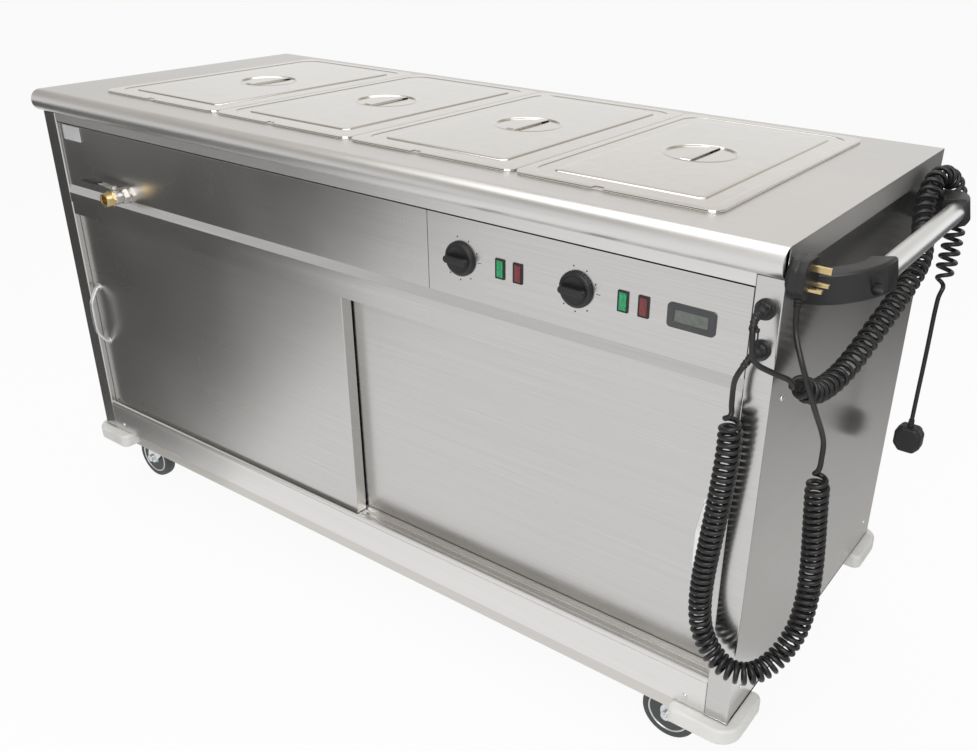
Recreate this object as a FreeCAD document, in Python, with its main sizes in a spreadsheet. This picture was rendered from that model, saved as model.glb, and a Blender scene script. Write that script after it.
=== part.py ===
import FreeCAD, Part
import Sketcher
import math
import os
from types import SimpleNamespace

# A mobile hot cupboard with a heated well for four lidded pans, in millimetres, +Z up.
# X runs along the front, with the push handle at the +X end, and Y runs from the front to the back.
# The origin is on the floor, under the middle of the outline that the rigid pieces make.

doc = FreeCAD.newDocument("HotCupboard")
sheet = doc.addObject("Spreadsheet::Sheet", "Sizes")

driving = {
    "BodyWidth": 1538, "BodyDepth": 613, "BodyBottom": 167, "TopHeight": 900, "TopWidth": 1540,
    "NoseReach": 19, "NoseRadius": 20, "BackReach": 10, "LipDepth": 34, "SheetGauge": 1,
    "PostWidth": 37, "PostTop": 858, "ApronBottom": 843, "FasciaTop": 840, "FasciaSetback": 4,
    "FasciaSeam": 215, "LedgeTop": 719, "LedgeFold": 703, "HeadCrease": 684, "HeadBottom": 659,
    "RailFold": 225, "RailLip": 232, "TrackFloor": 228, "TrackDepth": 61,
    "DoorWidth": 745, "DoorThickness": 22, "DoorBottom": 229, "DoorTop": 677,
    "FrontDoorSetback": 11, "RearDoorSetback": 36, "DoorEdge": 731,
    "PanPitch": 325, "PanLength": 530, "PanDepth": 150, "PanRim": 2.4, "PanFront": 61,
    "LidRise": 5, "DishRadius": 55, "DishDepth": 13, "WellBottom": 712,
    "ChassisRecess": 16, "ChassisBottom": 130, "ChassisTube": 40,
    "BufferReach": 19, "BufferBottom": 137, "BufferTop": 165, "BufferLength": 110,
    "CastorX": 688, "CastorY": 216, "CastorTrail": 50, "WheelRadius": 50, "WheelWidth": 24,
    "HandleReach": 86, "TubeOffset": 68, "TubeRadius": 15, "TubeHeight": 842,
    "TubeNear": 149, "TubeFar": 470, "ArmHeight": 40, "ArmRise": 14,
    "DrainReach": 44, "DrainPlace": 541, "DrainHeight": 729.5,
    "KnobRadius": 26, "KnobReach": 20, "KnobHeight": 779, "KnobLeft": 278, "KnobRight": 479,
    "LampWidth": 16.5, "LampHeight": 30, "BezelWidth": 68, "BezelHeight": 33, "BezelPlace": 652,
    "GlandPlace": 748.6, "GlandUpper": 818, "GlandLower": 765, "GlandReach": 18,
    "WireDiameter": 7.2, "CurlDiameter": 33, "ShelfHeight": 440,
}
for row, (alias, number) in enumerate(driving.items(), start=1):
    sheet.set(f"A{row}", alias)
    sheet.set(f"B{row}", str(number))
    sheet.setAlias(f"B{row}", alias)
doc.recompute()


class Size:
    """A length that carries its value and the spreadsheet expression that gives it."""

    def __init__(self, value, text):
        self.value = float(value)
        self.text = text

    def __add__(self, other):
        other = as_size(other)
        return Size(self.value + other.value, f"({self.text} + {other.text})")

    def __sub__(self, other):
        other = as_size(other)
        return Size(self.value - other.value, f"({self.text} - {other.text})")

    def __mul__(self, other):
        other = as_size(other)
        return Size(self.value * other.value, f"({self.text} * {other.text})")

    def __truediv__(self, other):
        other = as_size(other)
        return Size(self.value / other.value, f"({self.text} / {other.text})")

    def __neg__(self):
        return Size(-self.value, f"(0 - {self.text})")

    def __radd__(self, other):
        return as_size(other) + self

    def __rsub__(self, other):
        return as_size(other) - self

    def __rmul__(self, other):
        return as_size(other) * self


def as_size(thing):
    if isinstance(thing, Size):
        return thing
    return Size(thing, f"({float(thing):.6f})")


s = SimpleNamespace(**{alias: Size(number, f"Sizes.{alias}") for alias, number in driving.items()})

# The planes that everything is placed from.
middle = (s.BufferReach - s.HandleReach) / 2
depth_middle = (s.DrainReach - s.BufferReach) / 2
left = middle - s.BodyWidth / 2
right = middle + s.BodyWidth / 2
front = depth_middle - s.BodyDepth / 2
back = depth_middle + s.BodyDepth / 2
gauge = s.SheetGauge
opening_left = left + s.PostWidth
opening_right = right - s.PostWidth

TURN = {
    "X": FreeCAD.Rotation(FreeCAD.Vector(0, 1, 0), 90),
    "Y": FreeCAD.Rotation(FreeCAD.Vector(1, 0, 0), -90),
    "Z": FreeCAD.Rotation(),
}
nodes = []


def bind(item, prop, size):
    item.setExpression(prop, as_size(size).text)


def place(item, x, y, z, rotation=None):
    """Puts an object at a point given by sizes, turned by a fixed rotation."""
    x, y, z = as_size(x), as_size(y), as_size(z)
    item.Placement = FreeCAD.Placement(
        FreeCAD.Vector(x.value, y.value, z.value), rotation or FreeCAD.Rotation()
    )
    bind(item, "Placement.Base.x", x)
    bind(item, "Placement.Base.y", y)
    bind(item, "Placement.Base.z", z)


def box(name, x, y, z):
    """A block between the two sizes given along each axis."""
    item = doc.addObject("Part::Box", name)
    bind(item, "Length", x[1] - as_size(x[0]))
    bind(item, "Width", y[1] - as_size(y[0]))
    bind(item, "Height", z[1] - as_size(z[0]))
    place(item, x[0], y[0], z[0])
    return item


def rod(name, axis, radius, span, across):
    """A cylinder along one axis, from span[0] to span[1], centred on the two other coordinates."""
    item = doc.addObject("Part::Cylinder", name)
    bind(item, "Radius", radius)
    bind(item, "Height", span[1] - as_size(span[0]))
    spots = {
        "X": (span[0], across[0], across[1]),
        "Y": (across[0], span[0], across[1]),
        "Z": (across[0], across[1], span[0]),
    }
    place(item, *spots[axis], TURN[axis])
    return item


def taper(name, axis, radii, span, across):
    """A cone along one axis."""
    item = doc.addObject("Part::Cone", name)
    bind(item, "Radius1", radii[0])
    bind(item, "Radius2", radii[1])
    bind(item, "Height", span[1] - as_size(span[0]))
    spots = {
        "X": (span[0], across[0], across[1]),
        "Y": (across[0], span[0], across[1]),
        "Z": (across[0], across[1], span[0]),
    }
    place(item, *spots[axis], TURN[axis])
    return item


def fuse(name, *items):
    item = doc.addObject("Part::MultiFuse", name)
    item.Shapes = list(items)
    item.Refine = True
    return item


def cut(name, base, *tools):
    item = doc.addObject("Part::Cut", name)
    item.Base = base
    item.Tool = tools[0] if len(tools) == 1 else fuse(name + "_tools", *tools)
    return item


def group(name, *items):
    """Several separate solids kept as one sub-part."""
    item = doc.addObject("Part::Compound", name)
    item.Links = list(items)
    return item


def mirror(name, item, normal, x=0, y=0, z=0):
    twin = doc.addObject("Part::Mirroring", name)
    twin.Source = item
    twin.Normal = FreeCAD.Vector(*normal)
    for letter, size in zip("xyz", (x, y, z)):
        bind(twin, f"Base.{letter}", size)
    return twin


def node(label, item):
    """Names a finished sub-part, which is then written to its own file."""
    item.Label = label
    nodes.append(item)
    return item


def new_body(name, x=0, y=0, z=0, rotation=None):
    item = doc.addObject("PartDesign::Body", name)
    place(item, x, y, z, rotation)
    return item


def new_sketch(body, plane, name, lift=0):
    sketch = body.newObject("Sketcher::SketchObject", name)
    support = [feature for feature in body.Origin.OriginFeatures if feature.Role == plane][0]
    sketch.AttachmentSupport = [(support, "")]
    sketch.MapMode = "FlatFace"
    bind(sketch, "AttachmentOffset.Base.z", lift)
    return sketch


def fix_point(sketch, geometry, end, u, v):
    """Holds a point at two coordinates from the sketch's origin."""
    for kind, size in (("DistanceX", as_size(u)), ("DistanceY", as_size(v))):
        index = sketch.addConstraint(Sketcher.Constraint(kind, -1, 1, geometry, end, size.value))
        bind(sketch, f"Constraints[{index}]", size)


def outline(sketch, corners):
    """A closed outline. A corner is (u, v), or (u, v, w, side) where an arc whose centre is at
    height w on the sketch's vertical axis runs on to the next corner, round the given side."""
    count = len(corners)
    points = [FreeCAD.Vector(as_size(c[0]).value, as_size(c[1]).value, 0) for c in corners]
    edges = []
    for k, corner in enumerate(corners):
        start, finish = points[k], points[(k + 1) % count]
        if len(corner) == 2:
            edges.append((sketch.addGeometry(Part.LineSegment(start, finish)), 1, 2))
            continue
        height, side = as_size(corner[2]), corner[3]
        chord, halfway = finish - start, (start + finish) * 0.5
        along = FreeCAD.Vector(-chord.y, chord.x, 0)
        centre = halfway + along * ((height.value - halfway.y) / along.y) if abs(along.y) > 1e-9 else None
        if centre is None:
            centre = FreeCAD.Vector(as_size(corner[4]).value, height.value, 0)
        radius = (start - centre).Length
        angles = [math.atan2(p.y - centre.y, p.x - centre.x) for p in (start, finish)]
        if side == "right":
            angles.reverse()
        if angles[1] < angles[0]:
            angles[1] += 2 * math.pi
        circle = Part.Circle(centre, FreeCAD.Vector(0, 0, 1), radius)
        arc = sketch.addGeometry(Part.ArcOfCircle(circle, angles[0], angles[1]))
        edges.append((arc, 2, 1) if side == "right" else (arc, 1, 2))
        if len(corner) == 5:
            number = as_size(corner[4])
            index = sketch.addConstraint(Sketcher.Constraint("DistanceX", -1, 1, arc, 3, number.value))
        else:
            number = height
            index = sketch.addConstraint(Sketcher.Constraint("DistanceY", -1, 1, arc, 3, number.value))
        bind(sketch, f"Constraints[{index}]", number)
    for k, corner in enumerate(corners):
        here, before = edges[k], edges[k - 1]
        sketch.addConstraint(
            Sketcher.Constraint("Coincident", before[0], before[2], here[0], here[1])
        )
        fix_point(sketch, here[0], here[1], corner[0], corner[1])


def rounded(sketch, width, height, radius, u=0, v=0):
    """A rectangle with round corners about the point (u, v) of the sketch."""
    width, height, radius = as_size(width), as_size(height), as_size(radius)
    u, v = as_size(u), as_size(v)
    a, b, r = width.value / 2, height.value / 2, radius.value
    up = FreeCAD.Vector(0, 0, 1)
    middle_point = FreeCAD.Vector(u.value, v.value, 0)
    runs = [((-a + r, -b), (a - r, -b)), ((a, -b + r), (a, b - r)),
            ((a - r, b), (-a + r, b)), ((-a, b - r), (-a, -b + r))]
    centres = [(a - r, -b + r, -90), (a - r, b - r, 0), (-a + r, b - r, 90), (-a + r, -b + r, 180)]
    lines, arcs = [], []
    for run in runs:
        ends = [middle_point + FreeCAD.Vector(*end, 0) for end in run]
        lines.append(sketch.addGeometry(Part.LineSegment(*ends)))
    for x, y, angle in centres:
        circle = Part.Circle(middle_point + FreeCAD.Vector(x, y, 0), up, r)
        begin = math.radians(angle)
        arcs.append(sketch.addGeometry(Part.ArcOfCircle(circle, begin, begin + math.pi / 2)))
    for k in range(4):
        sketch.addConstraint(Sketcher.Constraint("Tangent", lines[k], 2, arcs[k], 1))
        sketch.addConstraint(Sketcher.Constraint("Tangent", arcs[k], 2, lines[(k + 1) % 4], 1))
        sketch.addConstraint(Sketcher.Constraint("Horizontal" if k % 2 == 0 else "Vertical", lines[k]))
    for k in range(1, 4):
        sketch.addConstraint(Sketcher.Constraint("Equal", arcs[0], arcs[k]))
    index = sketch.addConstraint(Sketcher.Constraint("Radius", arcs[0], r))
    bind(sketch, f"Constraints[{index}]", radius)
    for kind, line, size in (
        ("DistanceY", lines[0], v - height / 2), ("DistanceY", lines[2], v + height / 2),
        ("DistanceX", lines[1], u + width / 2), ("DistanceX", lines[3], u - width / 2),
    ):
        index = sketch.addConstraint(Sketcher.Constraint(kind, -1, 1, line, 1, size.value))
        bind(sketch, f"Constraints[{index}]", size)


def pad(body, sketch, length, name, down=False):
    feature = body.newObject("PartDesign::Pad", name)
    feature.Profile = sketch
    feature.Reversed = down
    bind(feature, "Length", length)
    body.Tip = feature
    return feature


def pocket(body, sketch, length, name, up=False):
    feature = body.newObject("PartDesign::Pocket", name)
    feature.Profile = sketch
    feature.Reversed = up
    bind(feature, "Length", length)
    body.Tip = feature
    return feature


def revolve(body, sketch, name, kind="PartDesign::Revolution"):
    """A turned feature about the vertical axis of its sketch."""
    feature = body.newObject(kind, name)
    feature.Profile = sketch
    feature.ReferenceAxis = (sketch, ["V_Axis"])
    feature.Angle = 360
    body.Tip = feature
    return feature


def dress(body, name, size, wanted, kind="PartDesign::Fillet"):
    """Rounds or bevels the edges of a body that pass the given test."""
    doc.recompute()
    base = body.Tip
    picked = [f"Edge{k}" for k, edge in enumerate(base.Shape.Edges, start=1) if wanted(edge)]
    if not picked:
        raise SystemExit(f"no edges for {name}")
    feature = body.newObject(kind, name)
    feature.Base = (base, picked)
    bind(feature, "Radius" if kind.endswith("Fillet") else "Size", size)
    body.Tip = feature
    return feature


def loft(body, sketches, name, kind="PartDesign::AdditiveLoft"):
    feature = body.newObject(kind, name)
    feature.Profile = sketches[0]
    feature.Sections = sketches[1:]
    body.Tip = feature
    return feature


# ---- worktop -------------------------------------------------------------------------------
nose_y = front + s.NoseRadius - s.NoseReach
top_back = back + s.BackReach
nose_z = s.TopHeight - s.NoseRadius
lip_bottom = s.TopHeight - s.LipDepth
pan_front = front + s.PanFront
pan_back = pan_front + s.PanLength
pan_lap = 10


def make_worktop():
    """A sheet top: round nose along the front, turned-down lips on the other sides."""
    body = new_body("WorktopSheet", middle - s.TopWidth / 2)
    section = new_sketch(body, "YZ_Plane", "WorktopSection")
    outline(section, [
        (top_back, lip_bottom), (top_back, s.TopHeight),
        (nose_y, s.TopHeight, nose_z, "left", nose_y), (nose_y, nose_z - s.NoseRadius),
        (nose_y, nose_z - s.NoseRadius + gauge, nose_z, "right", nose_y),
        (nose_y, s.TopHeight - gauge), (top_back - gauge, s.TopHeight - gauge),
        (top_back - gauge, lip_bottom),
    ])
    pad(body, section, s.TopWidth, "WorktopPad")
    pieces = [body]
    ends = (
        ("Left", middle - s.TopWidth / 2, left, left + 3),
        ("Right", right, middle + s.TopWidth / 2, right - 4),
    )
    for side, low, high, cap in ends:
        pieces.append(box(f"Lip{side}", (low, high), (nose_y, top_back), (lip_bottom, s.TopHeight)))
        nose_cap = rod(f"NoseCap{side}", "X", s.NoseRadius - gauge / 2, (cap, cap + gauge), (nose_y, nose_z))
        back_half = box(
            f"CapTrim{side}", (cap - 1, cap + 3), (nose_y, nose_y + 30), (nose_z - 30, nose_z + 30)
        )
        pieces.append(cut(f"HalfCap{side}", nose_cap, back_half))
    pieces.append(box(
        "Apron", (opening_left, opening_right), (nose_y, nose_y + gauge),
        (s.ApronBottom, nose_z - s.NoseRadius + gauge),
    ))
    well = box(
        "WellOpening", (middle - s.PanPitch * 2 + pan_lap, middle + s.PanPitch * 2 - pan_lap),
        (pan_front + pan_lap, pan_back - pan_lap), (s.TopHeight - 10, s.TopHeight + 5),
    )
    return cut("Worktop", fuse("WorktopShell", *pieces), well)


node("worktop", make_worktop())


# ---- heated well ---------------------------------------------------------------------------
well_left = middle - s.PanPitch * 2 + 4
well_right = middle + s.PanPitch * 2 - 4
well_front = pan_front + 4
well_back = pan_back - 4
drain_x = middle - s.DrainPlace


def make_well():
    """The tank under the pans: five welded plates, with a hole for the drain pipe."""
    level = (s.WellBottom, s.TopHeight - gauge)
    across = (well_left + gauge, well_right - gauge)
    hole = rod("WellDrainHole", "Y", 10.5, (well_front - 5, well_front + 5), (drain_x, s.DrainHeight))
    return group(
        "WellTank",
        box("WellFloor", across, (well_front + gauge, well_back - gauge),
            (s.WellBottom, s.WellBottom + gauge)),
        box("WellLeft", (well_left, well_left + gauge), (well_front, well_back), level),
        box("WellRight", (well_right - gauge, well_right), (well_front, well_back), level),
        box("WellBack", across, (well_back - gauge, well_back), level),
        cut("WellFront", box("WellFrontPlate", across, (well_front, well_front + gauge), level), hole),
    )


def make_rest_bars():
    bars = []
    for k in (-1, 0, 1):
        bar = box(
            f"RestBar{k + 2}", (middle + s.PanPitch * k - 9, middle + s.PanPitch * k + 9),
            (pan_front + pan_lap, pan_back - pan_lap), (s.TopHeight - 15, s.TopHeight),
        )
        bars.append(bar)
    return group("RestBars", *bars)


node("well_tank", make_well())
node("pan_rest_bars", make_rest_bars())


# ---- outer panels --------------------------------------------------------------------------
def make_side_panel(side):
    """One folded end panel: its front fold is the corner post, its foot sits on the chassis."""
    inward = 1 if side == "Left" else -1
    edge = left if side == "Left" else right

    def span(near, far):
        """Two sizes measured inwards from the panel's outer face, in rising order."""
        ends = (edge + near * inward, edge + far * inward)
        return ends if inward > 0 else (ends[1], ends[0])

    plate = box(f"{side}Plate", span(0, gauge), (front, back), (s.BodyBottom, s.TopHeight - gauge))
    post = box(f"{side}Post", span(0, s.PostWidth), (front, front + gauge), (s.BodyBottom, s.PostTop))
    fold = box(f"{side}Return", span(s.PostWidth - gauge, s.PostWidth), (front, front + 15),
               (s.BodyBottom, s.PostTop))
    foot = box(f"{side}Foot", span(0, 60), (front + 20, back - 20),
               (s.BodyBottom, s.BodyBottom + gauge))
    notch = box(f"{side}Notch", span(-1, s.PostWidth + 1), (front - 1, front + 2),
                (s.PostTop, s.TopHeight))
    tools = [notch]
    if side == "Right":
        for name, height in (("Upper", s.GlandUpper), ("Lower", s.GlandLower)):
            tools.append(rod(f"{name}GlandHole", "Y", 6, (front - 2, front + 3),
                             (middle + s.GlandPlace, height)))
    return cut(f"{side}Panel", fuse(f"{side}Shell", plate, post, fold, foot), *tools)


node("left_side_panel", make_side_panel("Left"))
node("right_side_panel", make_side_panel("Right"))


def make_back_panel():
    plate = box("BackPlate", (left + gauge, right - gauge), (back - gauge, back),
                (s.BodyBottom, s.TopHeight - gauge))
    foot = box("BackFoot", (left + 70, right - 70), (back - 60, back), (s.BodyBottom, s.BodyBottom + gauge))
    return fuse("BackPanel", plate, foot)


node("back_panel", make_back_panel())
node("cabinet_floor", box(
    "CabinetFloor", (left + gauge, right - gauge), (front + s.TrackDepth, back - gauge),
    (s.TrackFloor - gauge, s.TrackFloor),
))


def make_shelf():
    plate = box("ShelfPlate", (left + gauge, right - gauge), (front + 75, back - gauge),
                (s.ShelfHeight - gauge, s.ShelfHeight))
    lip = box("ShelfLip", (left + gauge, right - gauge), (front + 75, front + 75 + gauge),
              (s.ShelfHeight - 22, s.ShelfHeight))
    return fuse("MiddleShelf", plate, lip)


node("middle_shelf", make_shelf())

# ---- front: fascia, control panel, door tracks ---------------------------------------------
fascia_y = front + s.FasciaSetback
knob_spots = {"left": middle + s.KnobLeft, "right": middle + s.KnobRight}
green_spots = [middle + 350, middle + 552]
red_spots = [middle + 381, middle + 583]


def make_front_sheet(name, x, holes):
    """A flat front sheet with a return along its top edge."""
    face = box(name + "Face", x, (fascia_y, fascia_y + gauge), (s.LedgeTop, s.FasciaTop))
    lip = box(name + "Return", x, (fascia_y, fascia_y + 13), (s.FasciaTop - gauge, s.FasciaTop))
    return cut(name, fuse(name + "Sheet", face, lip), *holes)


drain_hole = rod("FasciaDrainHole", "Y", 11.5, (fascia_y - 5, fascia_y + 5), (drain_x, s.DrainHeight))
node("fascia_panel", make_front_sheet("Fascia", (opening_left + 1, middle + s.FasciaSeam), [drain_hole]))

panel_holes = []
for hand, spot in knob_spots.items():
    panel_holes.append(rod(f"ShaftHole{hand}", "Y", 5, (fascia_y - 5, fascia_y + 5), (spot, s.KnobHeight)))
for k, spot in enumerate(green_spots + red_spots):
    panel_holes.append(box(
        f"LampHole{k}", (spot - s.LampWidth / 2 + 1.5, spot + s.LampWidth / 2 - 1.5),
        (fascia_y - 5, fascia_y + 5),
        (s.KnobHeight - s.LampHeight / 2 + 1.5, s.KnobHeight + s.LampHeight / 2 - 1.5),
    ))
bezel_x = middle + s.BezelPlace
panel_holes.append(box(
    "DisplayHole", (bezel_x - s.BezelWidth / 2 + 5, bezel_x + s.BezelWidth / 2 - 5),
    (fascia_y - 5, fascia_y + 5),
    (s.KnobHeight - s.BezelHeight / 2 + 4, s.KnobHeight + s.BezelHeight / 2 - 4),
))
node("control_panel", make_front_sheet(
    "ControlPanel", (middle + s.FasciaSeam + 1, opening_right - 2), panel_holes,
))


def make_door_head():
    """The tilted ledge over the doors, the lip in front of them and the fins that guide them."""
    body = new_body("DoorHeadSheet", opening_left)
    section = new_sketch(body, "YZ_Plane", "DoorHeadSection")
    inner = front + 2.9
    roof = s.DoorTop + 3
    far = front + s.TrackDepth
    outline(section, [
        (fascia_y, s.LedgeTop), (front, s.LedgeFold), (front, s.HeadCrease),
        (front + 1.5, s.HeadCrease), (front + 1.5, s.HeadBottom), (inner, s.HeadBottom),
        (inner, roof), (far, roof), (far, roof + gauge), (inner, roof + gauge),
        (inner, s.HeadCrease + 1), (front + 1.2, s.HeadCrease + 1), (front + 1.2, s.LedgeFold),
        (fascia_y + 1.3, s.LedgeTop),
    ])
    pad(body, section, opening_right - opening_left, "DoorHeadPad")
    fins = []
    for name, place_y in (("MiddleFin", s.RearDoorSetback - 2.1), ("RearFin", s.TrackDepth - gauge)):
        fins.append(box(name, (opening_left, opening_right), (front + place_y, front + place_y + gauge),
                        (s.HeadBottom, roof + gauge)))
    return fuse("DoorHead", body, *fins)


def make_bottom_rail():
    """The rail under the doors: plain face, lip that leans back, track floor and guide fins."""
    body = new_body("RailSheet", opening_left)
    section = new_sketch(body, "YZ_Plane", "RailSection")
    under = s.TrackFloor - gauge
    far = front + s.TrackDepth
    outline(section, [
        (front, s.BodyBottom), (front, s.RailFold), (front + 4, s.RailLip), (front + 5.2, s.RailLip),
        (front + 5.2, s.TrackFloor), (far, s.TrackFloor), (far, under), (front + 4.6, under),
        (front + gauge, s.RailFold - 0.6), (front + gauge, s.BodyBottom + gauge),
        (front + 19, s.BodyBottom + gauge), (front + 19, s.BodyBottom),
    ])
    pad(body, section, opening_right - opening_left, "RailPad")
    fins = []
    for name, place_y in (("LowMiddleFin", s.RearDoorSetback - 2.1), ("LowRearFin", s.TrackDepth - gauge)):
        fins.append(box(name, (opening_left, opening_right), (front + place_y, front + place_y + gauge),
                        (under, s.TrackFloor + 6)))
    return fuse("BottomRail", body, *fins)


node("door_head", make_door_head())
node("bottom_rail", make_bottom_rail())


# ---- chassis, buffers, castors -------------------------------------------------------------
chassis_x = (left + s.ChassisRecess, right - s.ChassisRecess)
chassis_y = (front + s.ChassisRecess, back - s.ChassisRecess)


def make_chassis():
    tube = s.ChassisTube
    span_z = (s.ChassisBottom, s.BodyBottom)
    ring = box("ChassisOuter", chassis_x, chassis_y, span_z)
    hole = box("ChassisBay", (chassis_x[0] + tube, chassis_x[1] - tube),
               (chassis_y[0] + tube, chassis_y[1] - tube),
               (s.ChassisBottom - 1, s.BodyBottom + 1))
    beam = box("ChassisBeam", (middle - tube / 2, middle + tube / 2),
               (chassis_y[0] + tube, chassis_y[1] - tube), span_z)
    pads = []
    for k, side_x in enumerate((-1, 1)):
        low = middle + s.CastorX * side_x - 50
        for j, side_y in enumerate((-1, 1)):
            mid = depth_middle + s.CastorY * side_y
            pads.append(box(f"ChassisPad{k}{j}", (low, low + 100), (mid - 42, mid + 42),
                            (s.ChassisBottom, s.ChassisBottom + 4)))
    return fuse("Chassis", cut("ChassisRing", ring, hole), beam, *pads)


node("chassis_frame", make_chassis())


def make_buffer():
    """One moulded corner buffer, for the front right corner."""
    body = new_body("BufferBody", right, front, s.BufferBottom)
    section = new_sketch(body, "XY_Plane", "BufferSection")
    reach, inset, length = s.BufferReach, -s.ChassisRecess, s.BufferLength
    outline(section, [
        (reach - length, -reach), (reach, -reach), (reach, length - reach),
        (inset, length - reach), (inset, -inset), (reach - length, -inset),
    ])
    pad(body, section, s.BufferTop - s.BufferBottom, "BufferPad")
    far = length - reach

    def upright_at(*corners):
        """A test for the upright edges at these corners of the outline."""
        def test(edge):
            ends = [vertex.Point for vertex in edge.Vertexes]
            return any(
                all(abs(p.x - x.value) + abs(p.y - y.value) < 0.01 for p in ends) for x, y in corners
            )
        return test

    def outer_rim(edge):
        """A test for the level edges that don't lie against the chassis."""
        room = edge.BoundBox
        against_x = abs(room.XMax - inset.value) < 0.01 and room.YMax > -inset.value
        against_y = abs(room.YMin + inset.value) < 0.01 and room.XMin < inset.value
        return room.ZLength < 0.01 and not against_x and not against_y

    dress(body, "BufferCorner", 35, upright_at((reach, -reach)))
    dress(body, "BufferEnds", 14, upright_at((-far, -reach), (reach, far)))
    dress(body, "BufferRim", 5, outer_rim)
    return body


def make_buffers():
    front_right = make_buffer()
    front_left = mirror("FrontLeftBuffer", front_right, (1, 0, 0), x=middle)
    back_right = mirror("BackRightBuffer", front_right, (0, 1, 0), y=depth_middle)
    back_left = mirror("BackLeftBuffer", front_left, (0, 1, 0), y=depth_middle)
    return group("Buffers", front_right, front_left, back_right, back_left)


node("corner_buffers", make_buffers())

castor_spots = {
    "front_left": (-1, -1), "front_right": (1, -1), "back_left": (-1, 1), "back_right": (1, 1),
}
plate_bottom = s.ChassisBottom - 4
pivot_radius = 6
axle_radius = 4


def castor_centre(name):
    side_x, side_y = castor_spots[name]
    return middle + s.CastorX * side_x, depth_middle + s.CastorY * side_y


def make_castor_plate(name):
    """A top plate with its king pin, which the fork turns on."""
    x, y = castor_centre(name)
    plate = box(f"{name}_top", (x - 52, x + 52), (y - 40, y + 40), (plate_bottom, s.ChassisBottom))
    pin = rod(f"{name}_pin", "Z", pivot_radius, (104, plate_bottom + 1), (x, y))
    head = rod(f"{name}_pin_head", "Z", 10, (101.5, 104.2), (x, y))
    return fuse(f"{name}_plate", plate, pin, head)


def make_fork(name):
    """A pressed fork with its bearing cup, trailing towards -X, and the axle bolt."""
    x, y = castor_centre(name)
    axle_x = x - s.CastorTrail
    half = s.WheelWidth / 2 + 2
    cup = rod(f"{name}_cup", "Z", 27, (112, plate_bottom - 0.4), (x, y))
    crown = box(f"{name}_crown", (x - 42, x + 28), (y - half - 3, y + half + 3), (108.5, 112.5))
    bolt = rod(f"{name}_axle", "Y", axle_radius, (y - half - 9, y + half + 7), (axle_x, s.WheelRadius))
    nut = rod(f"{name}_nut", "Y", 8, (y - half - 8, y - half - 2.5), (axle_x, s.WheelRadius))
    pieces = [cup, crown, bolt, nut]
    for k, low in enumerate((y - half - 3, y + half)):
        leg = new_body(f"{name}_leg{k}", x, low)
        section = new_sketch(leg, "XZ_Plane", f"{name}_leg_section{k}")
        outline(section, [
            (28, 112.5), (-42, 112.5), (-s.CastorTrail - 12, s.WheelRadius + 6),
            (-s.CastorTrail - 8, s.WheelRadius - 11), (-s.CastorTrail + 8, s.WheelRadius - 11),
            (18, 96),
        ])
        pad(leg, section, 3, f"{name}_leg_pad{k}", down=True)
        pieces.append(leg)
    bore = rod(f"{name}_bore", "Z", pivot_radius + 0.05, (100, 130), (x, y))
    room = rod(f"{name}_room", "Z", 10.4, (100, 104.6), (x, y))
    return cut(f"{name}_fork", fuse(f"{name}_fork_body", *pieces), bore, room)


def make_wheel(name):
    """A hub and its grey tyre, two solids, turning on the axle bolt."""
    x, y = castor_centre(name)
    half = s.WheelWidth / 2
    turned = FreeCAD.Rotation(FreeCAD.Vector(1, 0, 0), -90)
    hub = new_body(f"{name}_hub", x - s.CastorTrail, y, s.WheelRadius, turned)
    section = new_sketch(hub, "XZ_Plane", f"{name}_hub_section")
    rim, bore = s.WheelRadius - 13, axle_radius + 0.05
    outline(section, [
        (bore, -half - 1), (11, -half - 1), (11, -4), (rim - 6, -4), (rim - 4, -half + 2), (rim, -half + 2),
        (rim, half - 2), (rim - 4, half - 2), (rim - 6, 4), (11, 4), (11, half + 1), (bore, half + 1),
    ])
    revolve(hub, section, f"{name}_hub_turning")
    tyre = new_body(f"{name}_tyre", x - s.CastorTrail, y, s.WheelRadius, turned)
    section = new_sketch(tyre, "XZ_Plane", f"{name}_tyre_section")
    outline(section, [
        (rim, -half), (s.WheelRadius - 4, -half), (s.WheelRadius - 1, -half + 2),
        (s.WheelRadius, -half + 6), (s.WheelRadius, half - 6), (s.WheelRadius - 1, half - 2),
        (s.WheelRadius - 4, half), (rim, half),
    ])
    revolve(tyre, section, f"{name}_tyre_turning")
    return group(f"{name}_wheel", hub, tyre)


node("castor_plates", group("CastorPlates", *[make_castor_plate(name) for name in castor_spots]))
for castor in castor_spots:
    node(f"castor_fork_{castor}", make_fork(castor))
    node(f"castor_wheel_{castor}", make_wheel(castor))


# ---- push handle ---------------------------------------------------------------------------
tube_x = right + s.TubeOffset
arm_tilt = math.degrees(math.atan2(s.ArmRise.value, s.TubeOffset.value))
arm_root_z = s.TubeHeight - s.ArmRise
socket_depth = 10


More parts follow.
